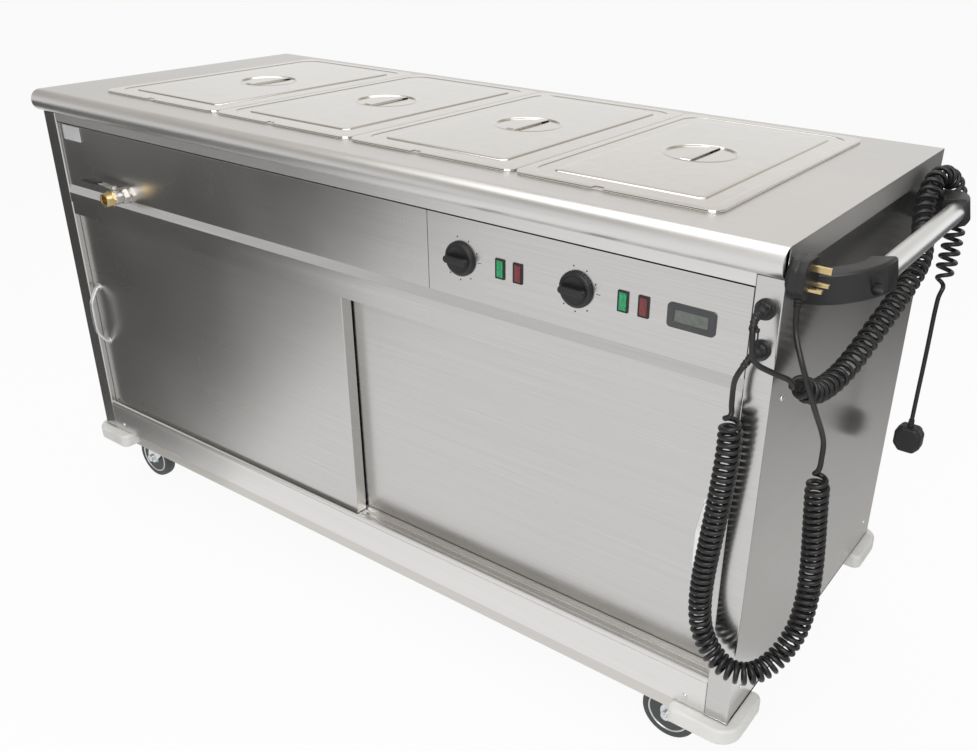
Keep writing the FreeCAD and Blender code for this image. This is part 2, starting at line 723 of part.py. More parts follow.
def make_bracket():
    """The front bracket: an arm swept out from the end panel, tilted up to the tube."""
    near = front + s.TubeNear
    rotation = FreeCAD.Rotation(FreeCAD.Vector(0, 1, 0), -arm_tilt)
    body = new_body("ArmBody", right, near, arm_root_z, rotation)
    section = new_sketch(body, "XY_Plane", "ArmSection", -s.ArmHeight / 2)
    along = s.TubeOffset / math.cos(math.radians(arm_tilt))
    outline(section, [
        (-12, -85, -8, "left"), (along + 18, -8), (along + 18, 0), (along - 18, 0),
        (along - 18, -8, -8, "right"), (-12, -43),
    ])
    pad(body, section, s.ArmHeight, "ArmPad")

    def is_sweeping_rim(edge):
        return edge.BoundBox.ZLength < 0.01 and edge.Curve.TypeId == "Part::GeomCircle"

    dress(body, "ArmRounding", 5, is_sweeping_rim)
    wall = box("ArmTrim", (right - 40, right), (near - 120, near + 20),
               (s.TubeHeight - 60, s.TubeHeight + 60))
    socket = rod("ArmSocket", "Y", s.TubeRadius, (near - socket_depth, near + 1), (tube_x, s.TubeHeight))
    recess = rod("ArmScrewRecess", "X", 8, (right + 46, right + 120), (near - 48, arm_root_z + 8))
    end = box("ArmTipTrim", (right + s.HandleReach, right + 120), (near - 60, near + 20),
              (s.TubeHeight - 60, s.TubeHeight + 60))
    return cut("Bracket", body, wall, socket, recess, end)


def make_brackets():
    near = make_bracket()
    halfway = front + (s.TubeNear + s.TubeFar) / 2
    return group("Brackets", near, mirror("FarBracket", near, (0, 1, 0), y=halfway))


node("handle_brackets", make_brackets())
node("handle_tube", rod(
    "HandleTube", "Y", s.TubeRadius,
    (front + s.TubeNear - socket_depth, front + s.TubeFar + socket_depth), (tube_x, s.TubeHeight),
))


# ---- doors ---------------------------------------------------------------------------------
def make_door(side, x, setback):
    """A double-skinned door leaf, open along its hidden top edge."""
    face = front + setback
    leaf = box(f"{side}Leaf", x, (face, face + s.DoorThickness), (s.DoorBottom, s.DoorTop))
    hollow = box(f"{side}Hollow", (x[0] + gauge, x[1] - gauge),
                 (face + gauge, face + s.DoorThickness - gauge),
                 (s.DoorBottom + gauge, s.DoorTop + 5))
    return cut(f"{side}Door", leaf, hollow)


def make_bow_handle(side, x, setback):
    """A flat strap bent into a bow: two feet on the door and a bar held clear of it."""
    face = front + setback
    body = new_body(f"{side}Bow", x - 4.5, face)
    section = new_sketch(body, "YZ_Plane", f"{side}BowSection")
    low, high, mid = 378, 505, 441.5
    outline(section, [
        (0, low), (-8, low), (-27, low + 30), (-27, high - 30), (-8, high), (0, high),
        (0, high - 5), (-6, high - 5), (-22, high - 31), (-22, low + 31), (-6, low + 5), (0, low + 5),
    ])
    pad(body, section, 9, f"{side}BowPad")

    def is_outer_bend(edge):
        ends = [vertex.Point for vertex in edge.Vertexes]
        return ends[0].distanceToPoint(ends[-1]) > 8 and all(
            p.y < -20 and abs(p.z - mid) < 40 for p in ends
        ) and edge.BoundBox.XLength > 8

    dress(body, f"{side}BowBends", 10, is_outer_bend)
    return body


left_door_x = (middle - s.DoorEdge, middle - s.DoorEdge + s.DoorWidth)
right_door_x = (middle + s.DoorEdge - s.DoorWidth, middle + s.DoorEdge)
node("left_door", make_door("Left", left_door_x, s.FrontDoorSetback))
node("left_door_handle", make_bow_handle("Left", left_door_x[0] + 19, s.FrontDoorSetback))
node("right_door", make_door("Right", right_door_x, s.RearDoorSetback))
node("right_door_handle", make_bow_handle("Right", right_door_x[1] - 43, s.RearDoorSetback))


# ---- pans and lids -------------------------------------------------------------------------
def make_pan(number, x):
    """A deep drawn pan: rolled rim, tapered sides, round corners."""
    body = new_body(f"PanBody{number}", x, pan_front + s.PanLength / 2, s.TopHeight)
    rim = new_sketch(body, "XY_Plane", f"PanRim{number}")
    rounded(rim, s.PanPitch - 0.6, s.PanLength, 20)
    pad(body, rim, s.PanRim, f"PanRimPad{number}")
    width, length = s.PanPitch - 23, s.PanLength - 28
    for kind, inset, word in (("PartDesign::AdditiveLoft", 0, "Outer"), ("PartDesign::SubtractiveLoft", 2, "Inner")):
        top = new_sketch(body, "XY_Plane", f"Pan{word}Top{number}", s.PanRim + (inset / 2))
        rounded(top, width - inset, length - inset, 38 - inset / 2)
        low = new_sketch(body, "XY_Plane", f"Pan{word}Low{number}", -s.PanDepth + inset / 2)
        rounded(low, width - 14 - inset, length - 14 - inset, 32 - inset / 2)
        loft(body, [top, low], f"Pan{word}{number}", kind)
    return body


def make_lid(number, x):
    """A pressed lid: flat edge, sloped step to the raised middle, round dish with its strap."""
    body = new_body(f"LidBody{number}", x, pan_front + s.PanLength / 2, s.TopHeight + s.PanRim)
    edge = new_sketch(body, "XY_Plane", f"LidEdge{number}")
    rounded(edge, s.PanPitch - 0.6, s.PanLength, 20)
    pad(body, edge, gauge, f"LidEdgePad{number}")
    width, length, rise = s.PanPitch - 32, s.PanLength - 36, s.LidRise
    for kind, drop, word in (("PartDesign::AdditiveLoft", 0, "Outer"), ("PartDesign::SubtractiveLoft", 1, "Inner")):
        foot = new_sketch(body, "XY_Plane", f"Lid{word}Foot{number}", gauge - drop if drop else gauge / 2)
        rounded(foot, width - 2 * drop, length - 2 * drop, 32 - drop)
        crown = new_sketch(body, "XY_Plane", f"Lid{word}Crown{number}", gauge + rise - drop)
        rounded(crown, width - 46 - 2 * drop, length - 46 - 2 * drop, 24 - drop)
        loft(body, [foot, crown], f"Lid{word}{number}", kind)
    top = gauge + rise
    for kind, drop, word in (("PartDesign::Revolution", 0, "Dish"), ("PartDesign::Groove", 1, "Hollow")):
        turned = new_sketch(body, "XZ_Plane", f"Lid{word}Section{number}")
        radius = s.DishRadius + 1 - drop
        floor = top - s.DishDepth - 1 + drop
        crown = top if drop == 0 else top + 1
        outline(turned, [(0, floor), (radius - 8, floor), (radius, crown), (0, crown)])
        revolve(body, turned, f"Lid{word}{number}", kind)
    strap = new_sketch(body, "XY_Plane", f"LidStrapOutline{number}", top - 2)
    rounded(strap, 20, s.DishRadius * 2 + 1, 2)
    pad(body, strap, 1.8, f"LidStrap{number}")
    notch = new_sketch(body, "XY_Plane", f"LidNotchOutline{number}", gauge * 2)
    rounded(notch, 16, 20, 5, -19, -s.PanLength / 2)
    pocket(body, notch, gauge * 3, f"LidNotch{number}")
    return body


for number in range(1, 5):
    pan_x = middle + s.PanPitch * (number - 2.5)
    node(f"pan_{number}", make_pan(number, pan_x))
    node(f"lid_{number}", make_lid(number, pan_x))


# ---- heating, controls ---------------------------------------------------------------------
def heater(name, x, y, z, length, width):
    """A tubular element: one hairpin of 8 mm tube on two carrier strips."""
    loop = width / 2
    rods = [
        rod(f"{name}Run{k}", "X", 4, (x - length / 2, x + length / 2), (y + side * loop, z))
        for k, side in enumerate((-1, 1))
    ]
    bend = doc.addObject("Part::Torus", f"{name}Bend")
    bind(bend, "Radius1", loop)
    bind(bend, "Radius2", 4)
    bend.Angle3 = 180
    place(bend, x + length / 2, y, z, FreeCAD.Rotation(FreeCAD.Vector(0, 0, 1), -90))
    strips = [
        box(f"{name}Strip{k}", (x + shift * length - 10, x + shift * length + 10),
            (y - loop - 10, y + loop + 10), (z + 3, z + 5))
        for k, shift in enumerate((as_size(-0.3), as_size(0.3)))
    ]
    return fuse(name, *rods, bend, *strips)


node("heating_elements", group(
    "HeatingElements",
    heater("WellHeater", middle, depth_middle, s.WellBottom - 5, as_size(1000), as_size(140)),
    heater("CupboardHeater", middle, back - 60, s.TrackFloor + 22, as_size(1000), as_size(60)),
))


def make_thermostat(hand, spot):
    """A thermostat behind the panel, with the bush and the spindle that the knob fits."""
    back_of_panel = fascia_y + gauge
    case = box(f"{hand}StatCase", (spot - 22, spot + 22), (back_of_panel + 3, back_of_panel + 38),
               (s.KnobHeight - 18, s.KnobHeight + 18))
    bush = rod(f"{hand}StatBush", "Y", 9, (back_of_panel, back_of_panel + 4), (spot, s.KnobHeight))
    spindle = rod(f"{hand}Spindle", "Y", 3, (fascia_y - 12, back_of_panel + 4), (spot, s.KnobHeight))
    return fuse(f"{hand}Thermostat", case, bush, spindle)


node("thermostats", group("Thermostats", *[make_thermostat(h, x) for h, x in knob_spots.items()]))


def make_knob(hand, spot):
    """A dial with a grip bar across it, turned to its off mark, which points to -X."""
    face = fascia_y - 0.5
    turned = FreeCAD.Rotation(FreeCAD.Vector(1, 0, 0), 90)
    body = new_body(f"{hand}KnobBody", spot, face, s.KnobHeight, turned)
    dial = new_sketch(body, "XZ_Plane", f"{hand}Dial")
    outline(dial, [
        (0, 0), (s.KnobRadius, 0), (s.KnobRadius, 3), (s.KnobRadius - 2, 6), (20, 7), (18, 8), (0, 8),
    ])
    revolve(body, dial, f"{hand}DialTurning")
    grip = new_sketch(body, "XY_Plane", f"{hand}Grip", 6)
    rounded(grip, 44, 13, 5)
    pad(body, grip, s.KnobReach - 6.5, f"{hand}GripPad")
    bore = new_sketch(body, "XY_Plane", f"{hand}Bore")
    circle = bore.addGeometry(Part.Circle(FreeCAD.Vector(), FreeCAD.Vector(0, 0, 1), 3.05))
    bore.addConstraint(Sketcher.Constraint("Coincident", -1, 1, circle, 3))
    bore.addConstraint(Sketcher.Constraint("Radius", circle, 3.05))
    pocket(body, bore, 13, f"{hand}BorePocket", up=True)
    return body


for hand, spot in knob_spots.items():
    node(f"knob_{hand}", make_knob(hand, spot))


def make_lamp(name, spot):
    """A lamp housing through the panel, with a frame and the room for its lens."""
    z = s.KnobHeight
    flange = box(f"{name}Flange", (spot - s.LampWidth / 2, spot + s.LampWidth / 2), (fascia_y - 2, fascia_y),
                 (z - s.LampHeight / 2, z + s.LampHeight / 2))
    case = box(f"{name}Case", (spot - s.LampWidth / 2 + 1.5, spot + s.LampWidth / 2 - 1.5),
               (fascia_y - 1, fascia_y + 24), (z - s.LampHeight / 2 + 1.5, z + s.LampHeight / 2 - 1.5))
    room = box(f"{name}Room", (spot - s.LampWidth / 2 + 2.5, spot + s.LampWidth / 2 - 2.5),
               (fascia_y - 3, fascia_y + 8), (z - s.LampHeight / 2 + 2.5, z + s.LampHeight / 2 - 2.5))
    return cut(name, fuse(f"{name}Body", flange, case), room)


def make_lens(name, spot):
    z = s.KnobHeight
    return box(name, (spot - s.LampWidth / 2 + 2.5, spot + s.LampWidth / 2 - 2.5),
               (fascia_y - 2.5, fascia_y + 8), (z - s.LampHeight / 2 + 2.5, z + s.LampHeight / 2 - 2.5))


node("lamp_bezels", group(
    "LampBezels", *[make_lamp(f"Lamp{k}", spot) for k, spot in enumerate(green_spots + red_spots)],
))
node("green_lenses", group("Greens", *[make_lens(f"Green{k}", x) for k, x in enumerate(green_spots)]))
node("red_lenses", group("Reds", *[make_lens(f"Red{k}", x) for k, x in enumerate(red_spots)]))

window_width = 48
window_height = 17


def make_bezel():
    """The display's housing: a rounded frame in front of the panel and a case behind it."""
    turned = FreeCAD.Rotation(FreeCAD.Vector(1, 0, 0), 90)
    body = new_body("DisplayBody", bezel_x, fascia_y, s.KnobHeight, turned)
    face = new_sketch(body, "XY_Plane", "DisplayFace")
    rounded(face, s.BezelWidth, s.BezelHeight, 5)
    pad(body, face, 3, "DisplayFacePad")
    case = new_sketch(body, "XY_Plane", "DisplayCase")
    rounded(case, s.BezelWidth - 10, s.BezelHeight - 8, 1)
    pad(body, case, 30, "DisplayCasePad", down=True)
    window = new_sketch(body, "XY_Plane", "DisplayWindow", 4)
    rounded(window, window_width, window_height, 1)
    pocket(body, window, 4, "DisplayWindowPocket")
    return body


node("display_bezel", make_bezel())
node("display_window", box(
    "DisplayGlass", (bezel_x - window_width / 2 + 0.3, bezel_x + window_width / 2 - 0.3),
    (fascia_y - 1.5, fascia_y), (s.KnobHeight - window_height / 2 + 0.3, s.KnobHeight + window_height / 2 - 0.3),
))

# ---- drain valve ---------------------------------------------------------------------------
valve_y = fascia_y - 23


def hexagon(name, y, across, radius):
    """A six-sided nut along Y."""
    item = doc.addObject("Part::Prism", name)
    item.Polygon = 6
    bind(item, "Circumradius", radius)
    bind(item, "Height", y[1] - as_size(y[0]))
    place(item, across[0], y[0], across[1], TURN["Y"])
    return item


def make_valve():
    axis = (drain_x, s.DrainHeight)
    pipe = rod("DrainPipe", "Y", 10.5, (fascia_y - 2, well_front + gauge), axis)
    nut = hexagon("DrainNut", (fascia_y - 13, fascia_y - 1.1), axis, 16)
    ball = rod("DrainBall", "Y", 12, (fascia_y - 30, fascia_y - 13), axis)
    stem = rod("DrainStem", "Z", 4, (s.DrainHeight + 8, s.DrainHeight + 16.5), (drain_x, valve_y))
    bore = rod("DrainBore", "Y", 7, (fascia_y - 40, well_front + 5), axis)
    return cut("DrainValve", fuse("DrainValveBody", pipe, nut, ball, stem), bore)


def make_outlet():
    axis = (drain_x, s.DrainHeight)
    end = front - s.DrainReach
    spout = rod("DrainSpout", "Y", 13, (end, end + 12), axis)
    collar = hexagon("DrainCollar", (end + 12, fascia_y - 30), axis, 14.5)
    bore = rod("OutletBore", "Y", 8, (end - 2, fascia_y - 29), axis)
    return cut("DrainOutlet", fuse("DrainOutletBody", spout, collar), bore)


def make_lever():
    """A lever that lies along -X when the valve is shut."""
    stem_top = s.DrainHeight + 17
    body = new_body("LeverBody", drain_x, valve_y, stem_top)
    plate = new_sketch(body, "XY_Plane", "LeverPlate")
    rounded(plate, 108, 14, 6.5, -46, 0)
    pad(body, plate, 3, "LeverPad")
    grip = new_sketch(body, "XY_Plane", "LeverGrip", -1)
    rounded(grip, 64, 17, 7, -69, 0)
    pad(body, grip, 6, "LeverGripPad")
    return body


node("drain_valve", make_valve())
node("drain_outlet", make_outlet())
node("drain_lever", make_lever())

# ---- mains leads ---------------------------------------------------------------------------
# Two curly mains leads leave the right-hand post. A point of a route is (x from the middle of
# the body, y from the front of the body, z), and each curly stretch winds round its own route.
gland_out = -s.GlandReach.value
lead_a_start = [
    (748.6, gland_out, 765), (748.6, -30, 765), (742, -36, 752), (734, -33, 735), (730, -26, 719),
    (730, -25, 702),
]
coil_a_route = [
    (730, -25, 702), (730, -24.3, 690.1), (730, -23.6, 678.2), (733, -23, 645), (731, -23, 600), (727, -23, 545),
    (722, -23, 489), (717, -23, 432), (716, -23, 382), (722, -24, 340), (742, -25, 308), (770, -29, 294),
    (795, -18, 290), (811, 5, 293), (823, 30, 308), (834, 49, 340), (837, 60, 382), (835, 67, 425),
    (832, 66, 475), (829, 61, 525), (827, 58, 562), (826, 57, 588), (826, 57, 601), (826, 57, 614),
]
lead_a_end = [
    (826, 57, 614), (826, 57, 636), (824, 44, 660), (823, 21, 688), (821.5, -1, 718), (816, -14, 746),
    (805, -14, 772), (790, -2, 796), (786, 1, 815), (786, 1, 828),
]
lead_b_start = [
    (748.6, gland_out, 818), (748.6, -28, 818), (750, -37, 808), (753, -40, 791), (754.5, -41, 775),
    (760, -38, 763), (769, -31, 757), (776, -26, 753),
]
coil_b_route = [
    (776, -26, 753), (783.7, -20.5, 748.6), (792.8, -14, 743.4), (802, 6, 731), (806, 38, 708), (809, 84, 700),
    (813, 130, 704), (817, 172, 718), (821, 212, 736), (826, 250, 754), (830, 290, 775), (832, 330, 793),
    (826, 372, 803), (811, 415, 816), (798, 452, 838), (791, 490, 866), (793, 522, 880), (800, 552, 876),
    (809, 575, 855), (817, 582, 822), (821, 577, 780), (822, 565, 740),
    (822, 554, 701), (822, 552, 684), (822, 550, 667),
]
lead_b_end = [
    (822, 550, 667), (822, 548, 650), (823, 545, 610), (823, 545, 560), (822, 547, 505), (822, 547, 458),
]
curls_a = 58
curls_b = 40


def route_point(point):
    return FreeCAD.Vector(point[0] + middle.value, point[1] + front.value, point[2])


def tube_path(points, name):
    """Straight runs joined by tangent arcs, each as large as its two runs allow."""
    spots = [route_point(point) for point in points]
    edges, radii, last = [], [], spots[0]
    for k in range(1, len(spots) - 1):
        before, after = spots[k] - spots[k - 1], spots[k + 1] - spots[k]
        turn = before.getAngle(after)
        setback = 0.45 * min(before.Length, after.Length)
        radius = setback / math.tan(turn / 2)
        one = spots[k] - before.normalize() * setback
        two = spots[k] + after.normalize() * setback
        inward = ((one + two) * 0.5 - spots[k]).normalize()
        apex = spots[k] + inward * (radius / math.cos(turn / 2) - radius)
        edges.append(Part.LineSegment(last, one).toShape())
        edges.append(Part.Arc(one, apex, two).toShape())
        radii.append(round(radius))
        last = two
    edges.append(Part.LineSegment(last, spots[-1]).toShape())
    print(name, "radii", radii)
    return edges


def sweep(label, edges):
    """A round wire of the leads' diameter swept along a chain of edges."""
    path = Part.Wire(edges)
    start = edges[0].valueAt(edges[0].FirstParameter)
    direction = edges[0].tangentAt(edges[0].FirstParameter)
    radius = s.WireDiameter.value / 2
    ring = Part.Wire([Part.Circle(start, direction, radius).toShape()])
    solid = path.makePipeShell([ring], True, False)
    expected = math.pi * radius ** 2 * path.Length
    print(f"{label}: length {path.Length:.0f}, volume {solid.Volume / expected:.4f} of section x length")
    item = doc.addObject("Part::Feature", label)
    item.Shape = solid
    item.Placement = FreeCAD.Placement()
    return node(label, item)


def smooth(share):
    share = min(max(share, 0.0), 1.0)
    return share * share * (3 - 2 * share)


def curl_points(route, curls, steps):
    """Points and directions of a wire that curls round the smooth curve drawn by the route."""
    curve = Part.BSplineCurve()
    curve.buildFromPoles([route_point(point) for point in route], False, 2)
    total = curve.length()
    stub = s.WireDiameter.value
    reach = (s.CurlDiameter.value - s.WireDiameter.value) / 2
    ease = 3.1 * (total - 2 * stub) / curls

    def frame_at(distance):
        share = curve.parameterAtDistance(distance, curve.FirstParameter)
        return curve.value(share), FreeCAD.Vector(*curve.tangent(share)[0])

    samples = 24 * curls
    centre, along = frame_at(0)
    side = along.cross(FreeCAD.Vector(0.3, 0.9, 0.2)).normalize()
    distances = [stub + (total - 2 * stub) * k / samples for k in range(samples + 1)]
    ramps = [smooth((d - stub) / ease) * smooth((total - stub - d) / ease) for d in distances]
    wire, angle = [], 0.0
    for distance, ramp in zip(distances, ramps):
        centre, along = frame_at(distance)
        side = (side - along * side.dot(along)).normalize()
        offset = side * math.cos(angle) + along.cross(side) * math.sin(angle)
        wire.append((centre + offset * (reach * ramp), along))
        angle += 2 * math.pi * curls * ramp / sum(ramps)
    picked = []
    stride = 24 // steps
    for k in range(0, samples + 1, stride):
        if 0 < k < samples:
            direction = (wire[k + 1][0] - wire[k - 1][0]).normalize()
        else:
            direction = wire[k][1]
        picked.append((wire[k][0], direction))
    first, last = frame_at(0), frame_at(total)
    nearest = 1e9
    for k in range(0, len(wire)):
        for j in range(k + 16, len(wire), 2):
            nearest = min(nearest, (wire[k][0] - wire[j][0]).Length)
    return first[0], picked, last[0], nearest - s.WireDiameter.value


def half_arc(start, corner, finish):
    """The arc that leaves start towards corner and reaches finish coming from corner."""
    chord_middle = (start + finish) * 0.5
    half_chord = (finish - start).Length / 2
    cosine = half_chord / (corner - start).Length
    if cosine > 0.99999:
        return Part.LineSegment(start, finish).toShape(), 1e6
    apex = chord_middle + (corner - chord_middle) * (cosine / (1 + cosine))
    return Part.Arc(start, apex, finish).toShape(), half_chord / math.sqrt(1 - cosine ** 2)


def biarcs(picked):
    """Two arcs between each pair of points, smooth where they meet."""
    edges, radii = [], []
    for (one, out), (two, into) in zip(picked, picked[1:]):
        gap, both = two - one, out + into
        blend = 2 * (1 - out.dot(into))
        reach = gap.dot(both)
        if blend < 1e-9:
            length = gap.Length ** 2 / (4 * gap.dot(into))
        else:
            length = (-reach + math.sqrt(reach ** 2 + blend * gap.dot(gap))) / blend
        q_one, q_two = one + out * length, two - into * length
        joint = (q_one + q_two) * 0.5
        for ends in ((one, q_one, joint), (joint, q_two, two)):
            edge, radius = half_arc(*ends)
            edges.append(edge)
            radii.append(radius)
    return edges, min(radii)


def curly(label, route, curls):
    start, picked, finish, gap = curl_points(route, curls, 4)
    edges, tightest = biarcs(picked)
    edges.insert(0, Part.LineSegment(start, picked[0][0]).toShape())
    edges.append(Part.LineSegment(picked[-1][0], finish).toShape())
    print(f"{label}: least gap {gap:.2f}, tightest radius {tightest:.1f}, {len(edges)} edges")
    return sweep(label, edges)


sweep("lead_a_start", tube_path(lead_a_start, "lead_a_start"))
curly("coil_a", coil_a_route, curls_a)
sweep("lead_a_end", tube_path(lead_a_end, "lead_a_end"))
sweep("lead_b_start", tube_path(lead_b_start, "lead_b_start"))
curly("coil_b", coil_b_route, curls_b)
sweep("lead_b_end", tube_path(lead_b_end, "lead_b_end"))


def make_gland(name, height):
    """A screwed gland in the post: nut, dome and the neck that goes through the sheet."""
    spot = (middle + s.GlandPlace, height)
    out = front - s.GlandReach
    neck = rod(f"{name}Neck", "Y", 6, (front - 2, front + 10), spot)
    collar = hexagon(f"{name}Collar", (front - 6, front), spot, 11)
    dome = taper(f"{name}Dome", "Y", (6.5, 9.5), (out, front - 6), spot)
    lock = hexagon(f"{name}Lock", (front + gauge, front + 6), spot, 10)
    bore = rod(f"{name}Bore", "Y", s.WireDiameter / 2, (out, out + 1), spot)
    body = fuse(f"{name}Body", neck, collar, dome, lock)
    return cut(f"{name}Gland", body, bore)


node("cable_glands", group(
    "Glands", make_gland("Upper", s.GlandUpper), make_gland("Lower", s.GlandLower),
))

plug_width = 46
plug_height = 48
plug_thickness = 25


def make_plug(name, x, y, z, rotation, relief):
    """A three-pin plug whose lead leaves at the bottom through a ribbed relief."""
    body = new_body(name, x, y, z, rotation)
    face = new_sketch(body, "XZ_Plane", name + "Face")
    a, b = plug_width / 2, plug_height / 2
    outline(face, [
        (-a + 9, -b), (a - 9, -b), (a, -b + 12), (a, b - 12), (a - 10, b), (-a + 10, b),
        (-a, b - 12), (-a, -b + 12),
    ])
    pad(body, face, plug_thickness, name + "Pad")

    def is_back_rim(edge):
        return all(abs(vertex.Point.y + plug_thickness) < 0.01 for vertex in edge.Vertexes)

    dress(body, name + "Bevel", 4, is_back_rim, "PartDesign::Chamfer")
    neck = new_sketch(body, "XY_Plane", name + "Neck", -b - relief)
    rounded(neck, 11, 11, 5.4, 0, -plug_thickness / 2)
    pad(body, neck, relief + 2, name + "Relief")
    return body


def pins(name, x, y, z, rotation):
    """The earth pin above and the two line pins below, on the plug's face."""
    solids = []
    shapes = (("Earth", 0, 12, 4, 8, 22), ("Line", 11, -10, 6.3, 4, 17.5), ("Neutral", -11, -10, 6.3, 4, 17.5))
    for word, u, w, wide, tall, reach in shapes:
        body = new_body(f"{name}{word}", x, y, z, rotation)
        section = new_sketch(body, "XZ_Plane", f"{name}{word}Section")
        rounded(section, wide, tall, 0.8, u, w)
        pad(body, section, reach, f"{name}{word}Pad", down=True)
        solids.append(body)
    return group(name, *solids)


end_a = lead_a_end[-1]
relief_a = 16
face_out_x = FreeCAD.Rotation(FreeCAD.Vector(0, 0, 1), -90)
plug_a_spot = (
    middle + end_a[0] + plug_thickness / 2, front + end_a[1], as_size(end_a[2] + relief_a + plug_height / 2),
)
node("plug_a", make_plug("PlugA", *plug_a_spot, face_out_x, relief_a))
node("plug_a_pins", pins("PinsA", *plug_a_spot, face_out_x))

end_b = lead_b_end[-1]
relief_b = 14
plug_b_spot = (
    middle + end_b[0], front + end_b[1] + plug_thickness / 2, as_size(end_b[2] - relief_b - plug_height / 2),
)
head_down = FreeCAD.Rotation(FreeCAD.Vector(0, 1, 0), 180)
node("plug_b", make_plug("PlugB", *plug_b_spot, head_down, relief_b))
node("plug_b_pins", pins("PinsB", *plug_b_spot, head_down))

# ---- checks and files ----------------------------------------------------------------------
doc.recompute()
faults = [item.Name for item in doc.Objects if "Invalid" in item.State or "Error" in item.State]
if faults:
    raise SystemExit(f"failed objects: {faults}")
for item in nodes:
    if item.Shape.isNull() or not item.Shape.isValid() or not item.Shape.Solids:
        raise SystemExit(f"bad shape: {item.Label}")
os.makedirs("parts", exist_ok=True)
for item in nodes:
    item.Shape.exportStep(f"parts/{item.Label}.step")
print(len(nodes), "sub-parts written")
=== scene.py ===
import math

import bmesh
import bpy
import numpy as np
from mathutils import Matrix, Vector


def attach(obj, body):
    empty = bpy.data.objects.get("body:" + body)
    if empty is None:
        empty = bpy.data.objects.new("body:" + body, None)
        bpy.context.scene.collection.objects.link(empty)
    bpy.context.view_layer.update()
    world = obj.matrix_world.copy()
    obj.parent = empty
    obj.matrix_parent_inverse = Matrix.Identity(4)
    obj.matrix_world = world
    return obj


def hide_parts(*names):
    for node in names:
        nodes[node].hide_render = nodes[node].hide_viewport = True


# The mobile hot cupboard: looks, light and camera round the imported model, in metres.
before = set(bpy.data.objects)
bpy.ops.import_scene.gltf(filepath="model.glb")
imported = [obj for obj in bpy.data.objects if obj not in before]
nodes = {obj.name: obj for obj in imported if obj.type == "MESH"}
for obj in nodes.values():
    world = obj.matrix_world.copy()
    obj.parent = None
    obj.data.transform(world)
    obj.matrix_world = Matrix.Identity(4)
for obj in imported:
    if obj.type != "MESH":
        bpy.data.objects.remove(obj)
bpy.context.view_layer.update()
bodyMiddle = -0.0335  # x of the cabinet's middle
bodyFront = -0.294  # y of the cabinet's front
print("model loaded:", len(nodes), "nodes")


def spot(x, y, z):
    # A place given in millimetres from the cabinet's middle, its front and the floor.
    return np.array([x / 1000 + bodyMiddle, y / 1000 + bodyFront, z / 1000])


# Camera.
photoCamera = {
    "place": (1.120776, -1.336978, 1.253661), "heading": 34.81, "down": 26.58, "roll": 1.089,
    "focal": 986.999, "centre": (542.527, 387.162), "picture": (977, 751), "sensor": 36.0,
    "clip": (0.05, 60),
}


def makeCamera(look):
    heading, down, roll = (math.radians(look[key]) for key in ("heading", "down", "roll"))
    ahead = np.array([-math.sin(heading) * math.cos(down), math.cos(heading) * math.cos(down),
                      -math.sin(down)])
    level = np.array([math.cos(heading), math.sin(heading), 0.0])
    upright = np.cross(level, ahead)
    right = math.cos(roll) * level + math.sin(roll) * upright
    up = math.cos(roll) * upright - math.sin(roll) * level
    data = bpy.data.cameras.new("photoCamera")
    wide, high = look["picture"]
    data.sensor_width = look["sensor"]
    data.lens = look["focal"] * look["sensor"] / wide
    data.shift_x = (wide / 2 - look["centre"][0]) / wide
    data.shift_y = (look["centre"][1] - high / 2) / wide
    data.clip_start, data.clip_end = look["clip"]
    camera = bpy.data.objects.new("photoCamera", data)
    bpy.context.scene.collection.objects.link(camera)
    turn = Matrix((right, up, -ahead)).transposed()
    camera.matrix_world = Matrix.Translation(look["place"]) @ turn.to_4x4()
    bpy.context.scene.camera = camera


makeCamera(photoCamera)
print("camera placed")


# Shader helpers.
def newMaterial(name, **values):
    # A material whose Principled shader has these constants; colour and texture come after.
    material = bpy.data.materials.new(name)
    material.use_nodes = True
    tree = material.node_tree
    shader = tree.nodes["Principled BSDF"]
    for socket, value in values.items():
        shader.inputs[socket.replace("_", " ")].default_value = value
    return material, tree, shader


def addNode(tree, kind, inputs=None, **settings):
    node = tree.nodes.new(kind)
    for key, value in settings.items():
        setattr(node, key, value)
    for key, value in (inputs or {}).items():
        if isinstance(value, bpy.types.NodeSocket):
            tree.links.new(value, node.inputs[key])
        else:
            node.inputs[key].default_value = value
    return node


def addRamp(tree, source, stops):
    # A colour ramp on a value: stops are (place, grey or colour).
    ramp = addNode(tree, "ShaderNodeValToRGB", {"Fac": source})
    elements = ramp.color_ramp.elements
    while len(elements) < len(stops):
        elements.new(0.5)
    for element, (place, tone) in zip(elements, stops):
        element.position = place
        element.color = (tone, tone, tone, 1) if isinstance(tone, float) else (*tone, 1)
    return ramp.outputs["Color"]


def addNoise(tree, place, scale, detail, roughness=0.5):
    values = {"Vector": place, "Scale": scale, "Detail": detail, "Roughness": roughness}
    return addNode(tree, "ShaderNodeTexNoise", values).outputs["Fac"]


def addMath(tree, operation, *values):
    return addNode(tree, "ShaderNodeMath", dict(enumerate(values)), operation=operation).outputs[0]


def addVectorMath(tree, operation, first, second):
    node = addNode(tree, "ShaderNodeVectorMath", {0: first, 1: second}, operation=operation)
    return node.outputs["Value" if operation == "DOT_PRODUCT" else "Vector"]


def addRange(tree, value, low, high, toLow=0.0, toHigh=1.0):
    # Carries a value from one range to another and holds it at both ends.
    values = {"Value": value, "From Min": low, "From Max": high, "To Min": toLow, "To Max": toHigh}
    return addNode(tree, "ShaderNodeMapRange", values).outputs[0]


def addMix(tree, factor, first, second, blend="MIX"):
    values = {"Factor": factor, 6: first, 7: second}  # 6 and 7 are the two colour sockets
    return addNode(tree, "ShaderNodeMix", values, data_type="RGBA", blend_type=blend).outputs[2]


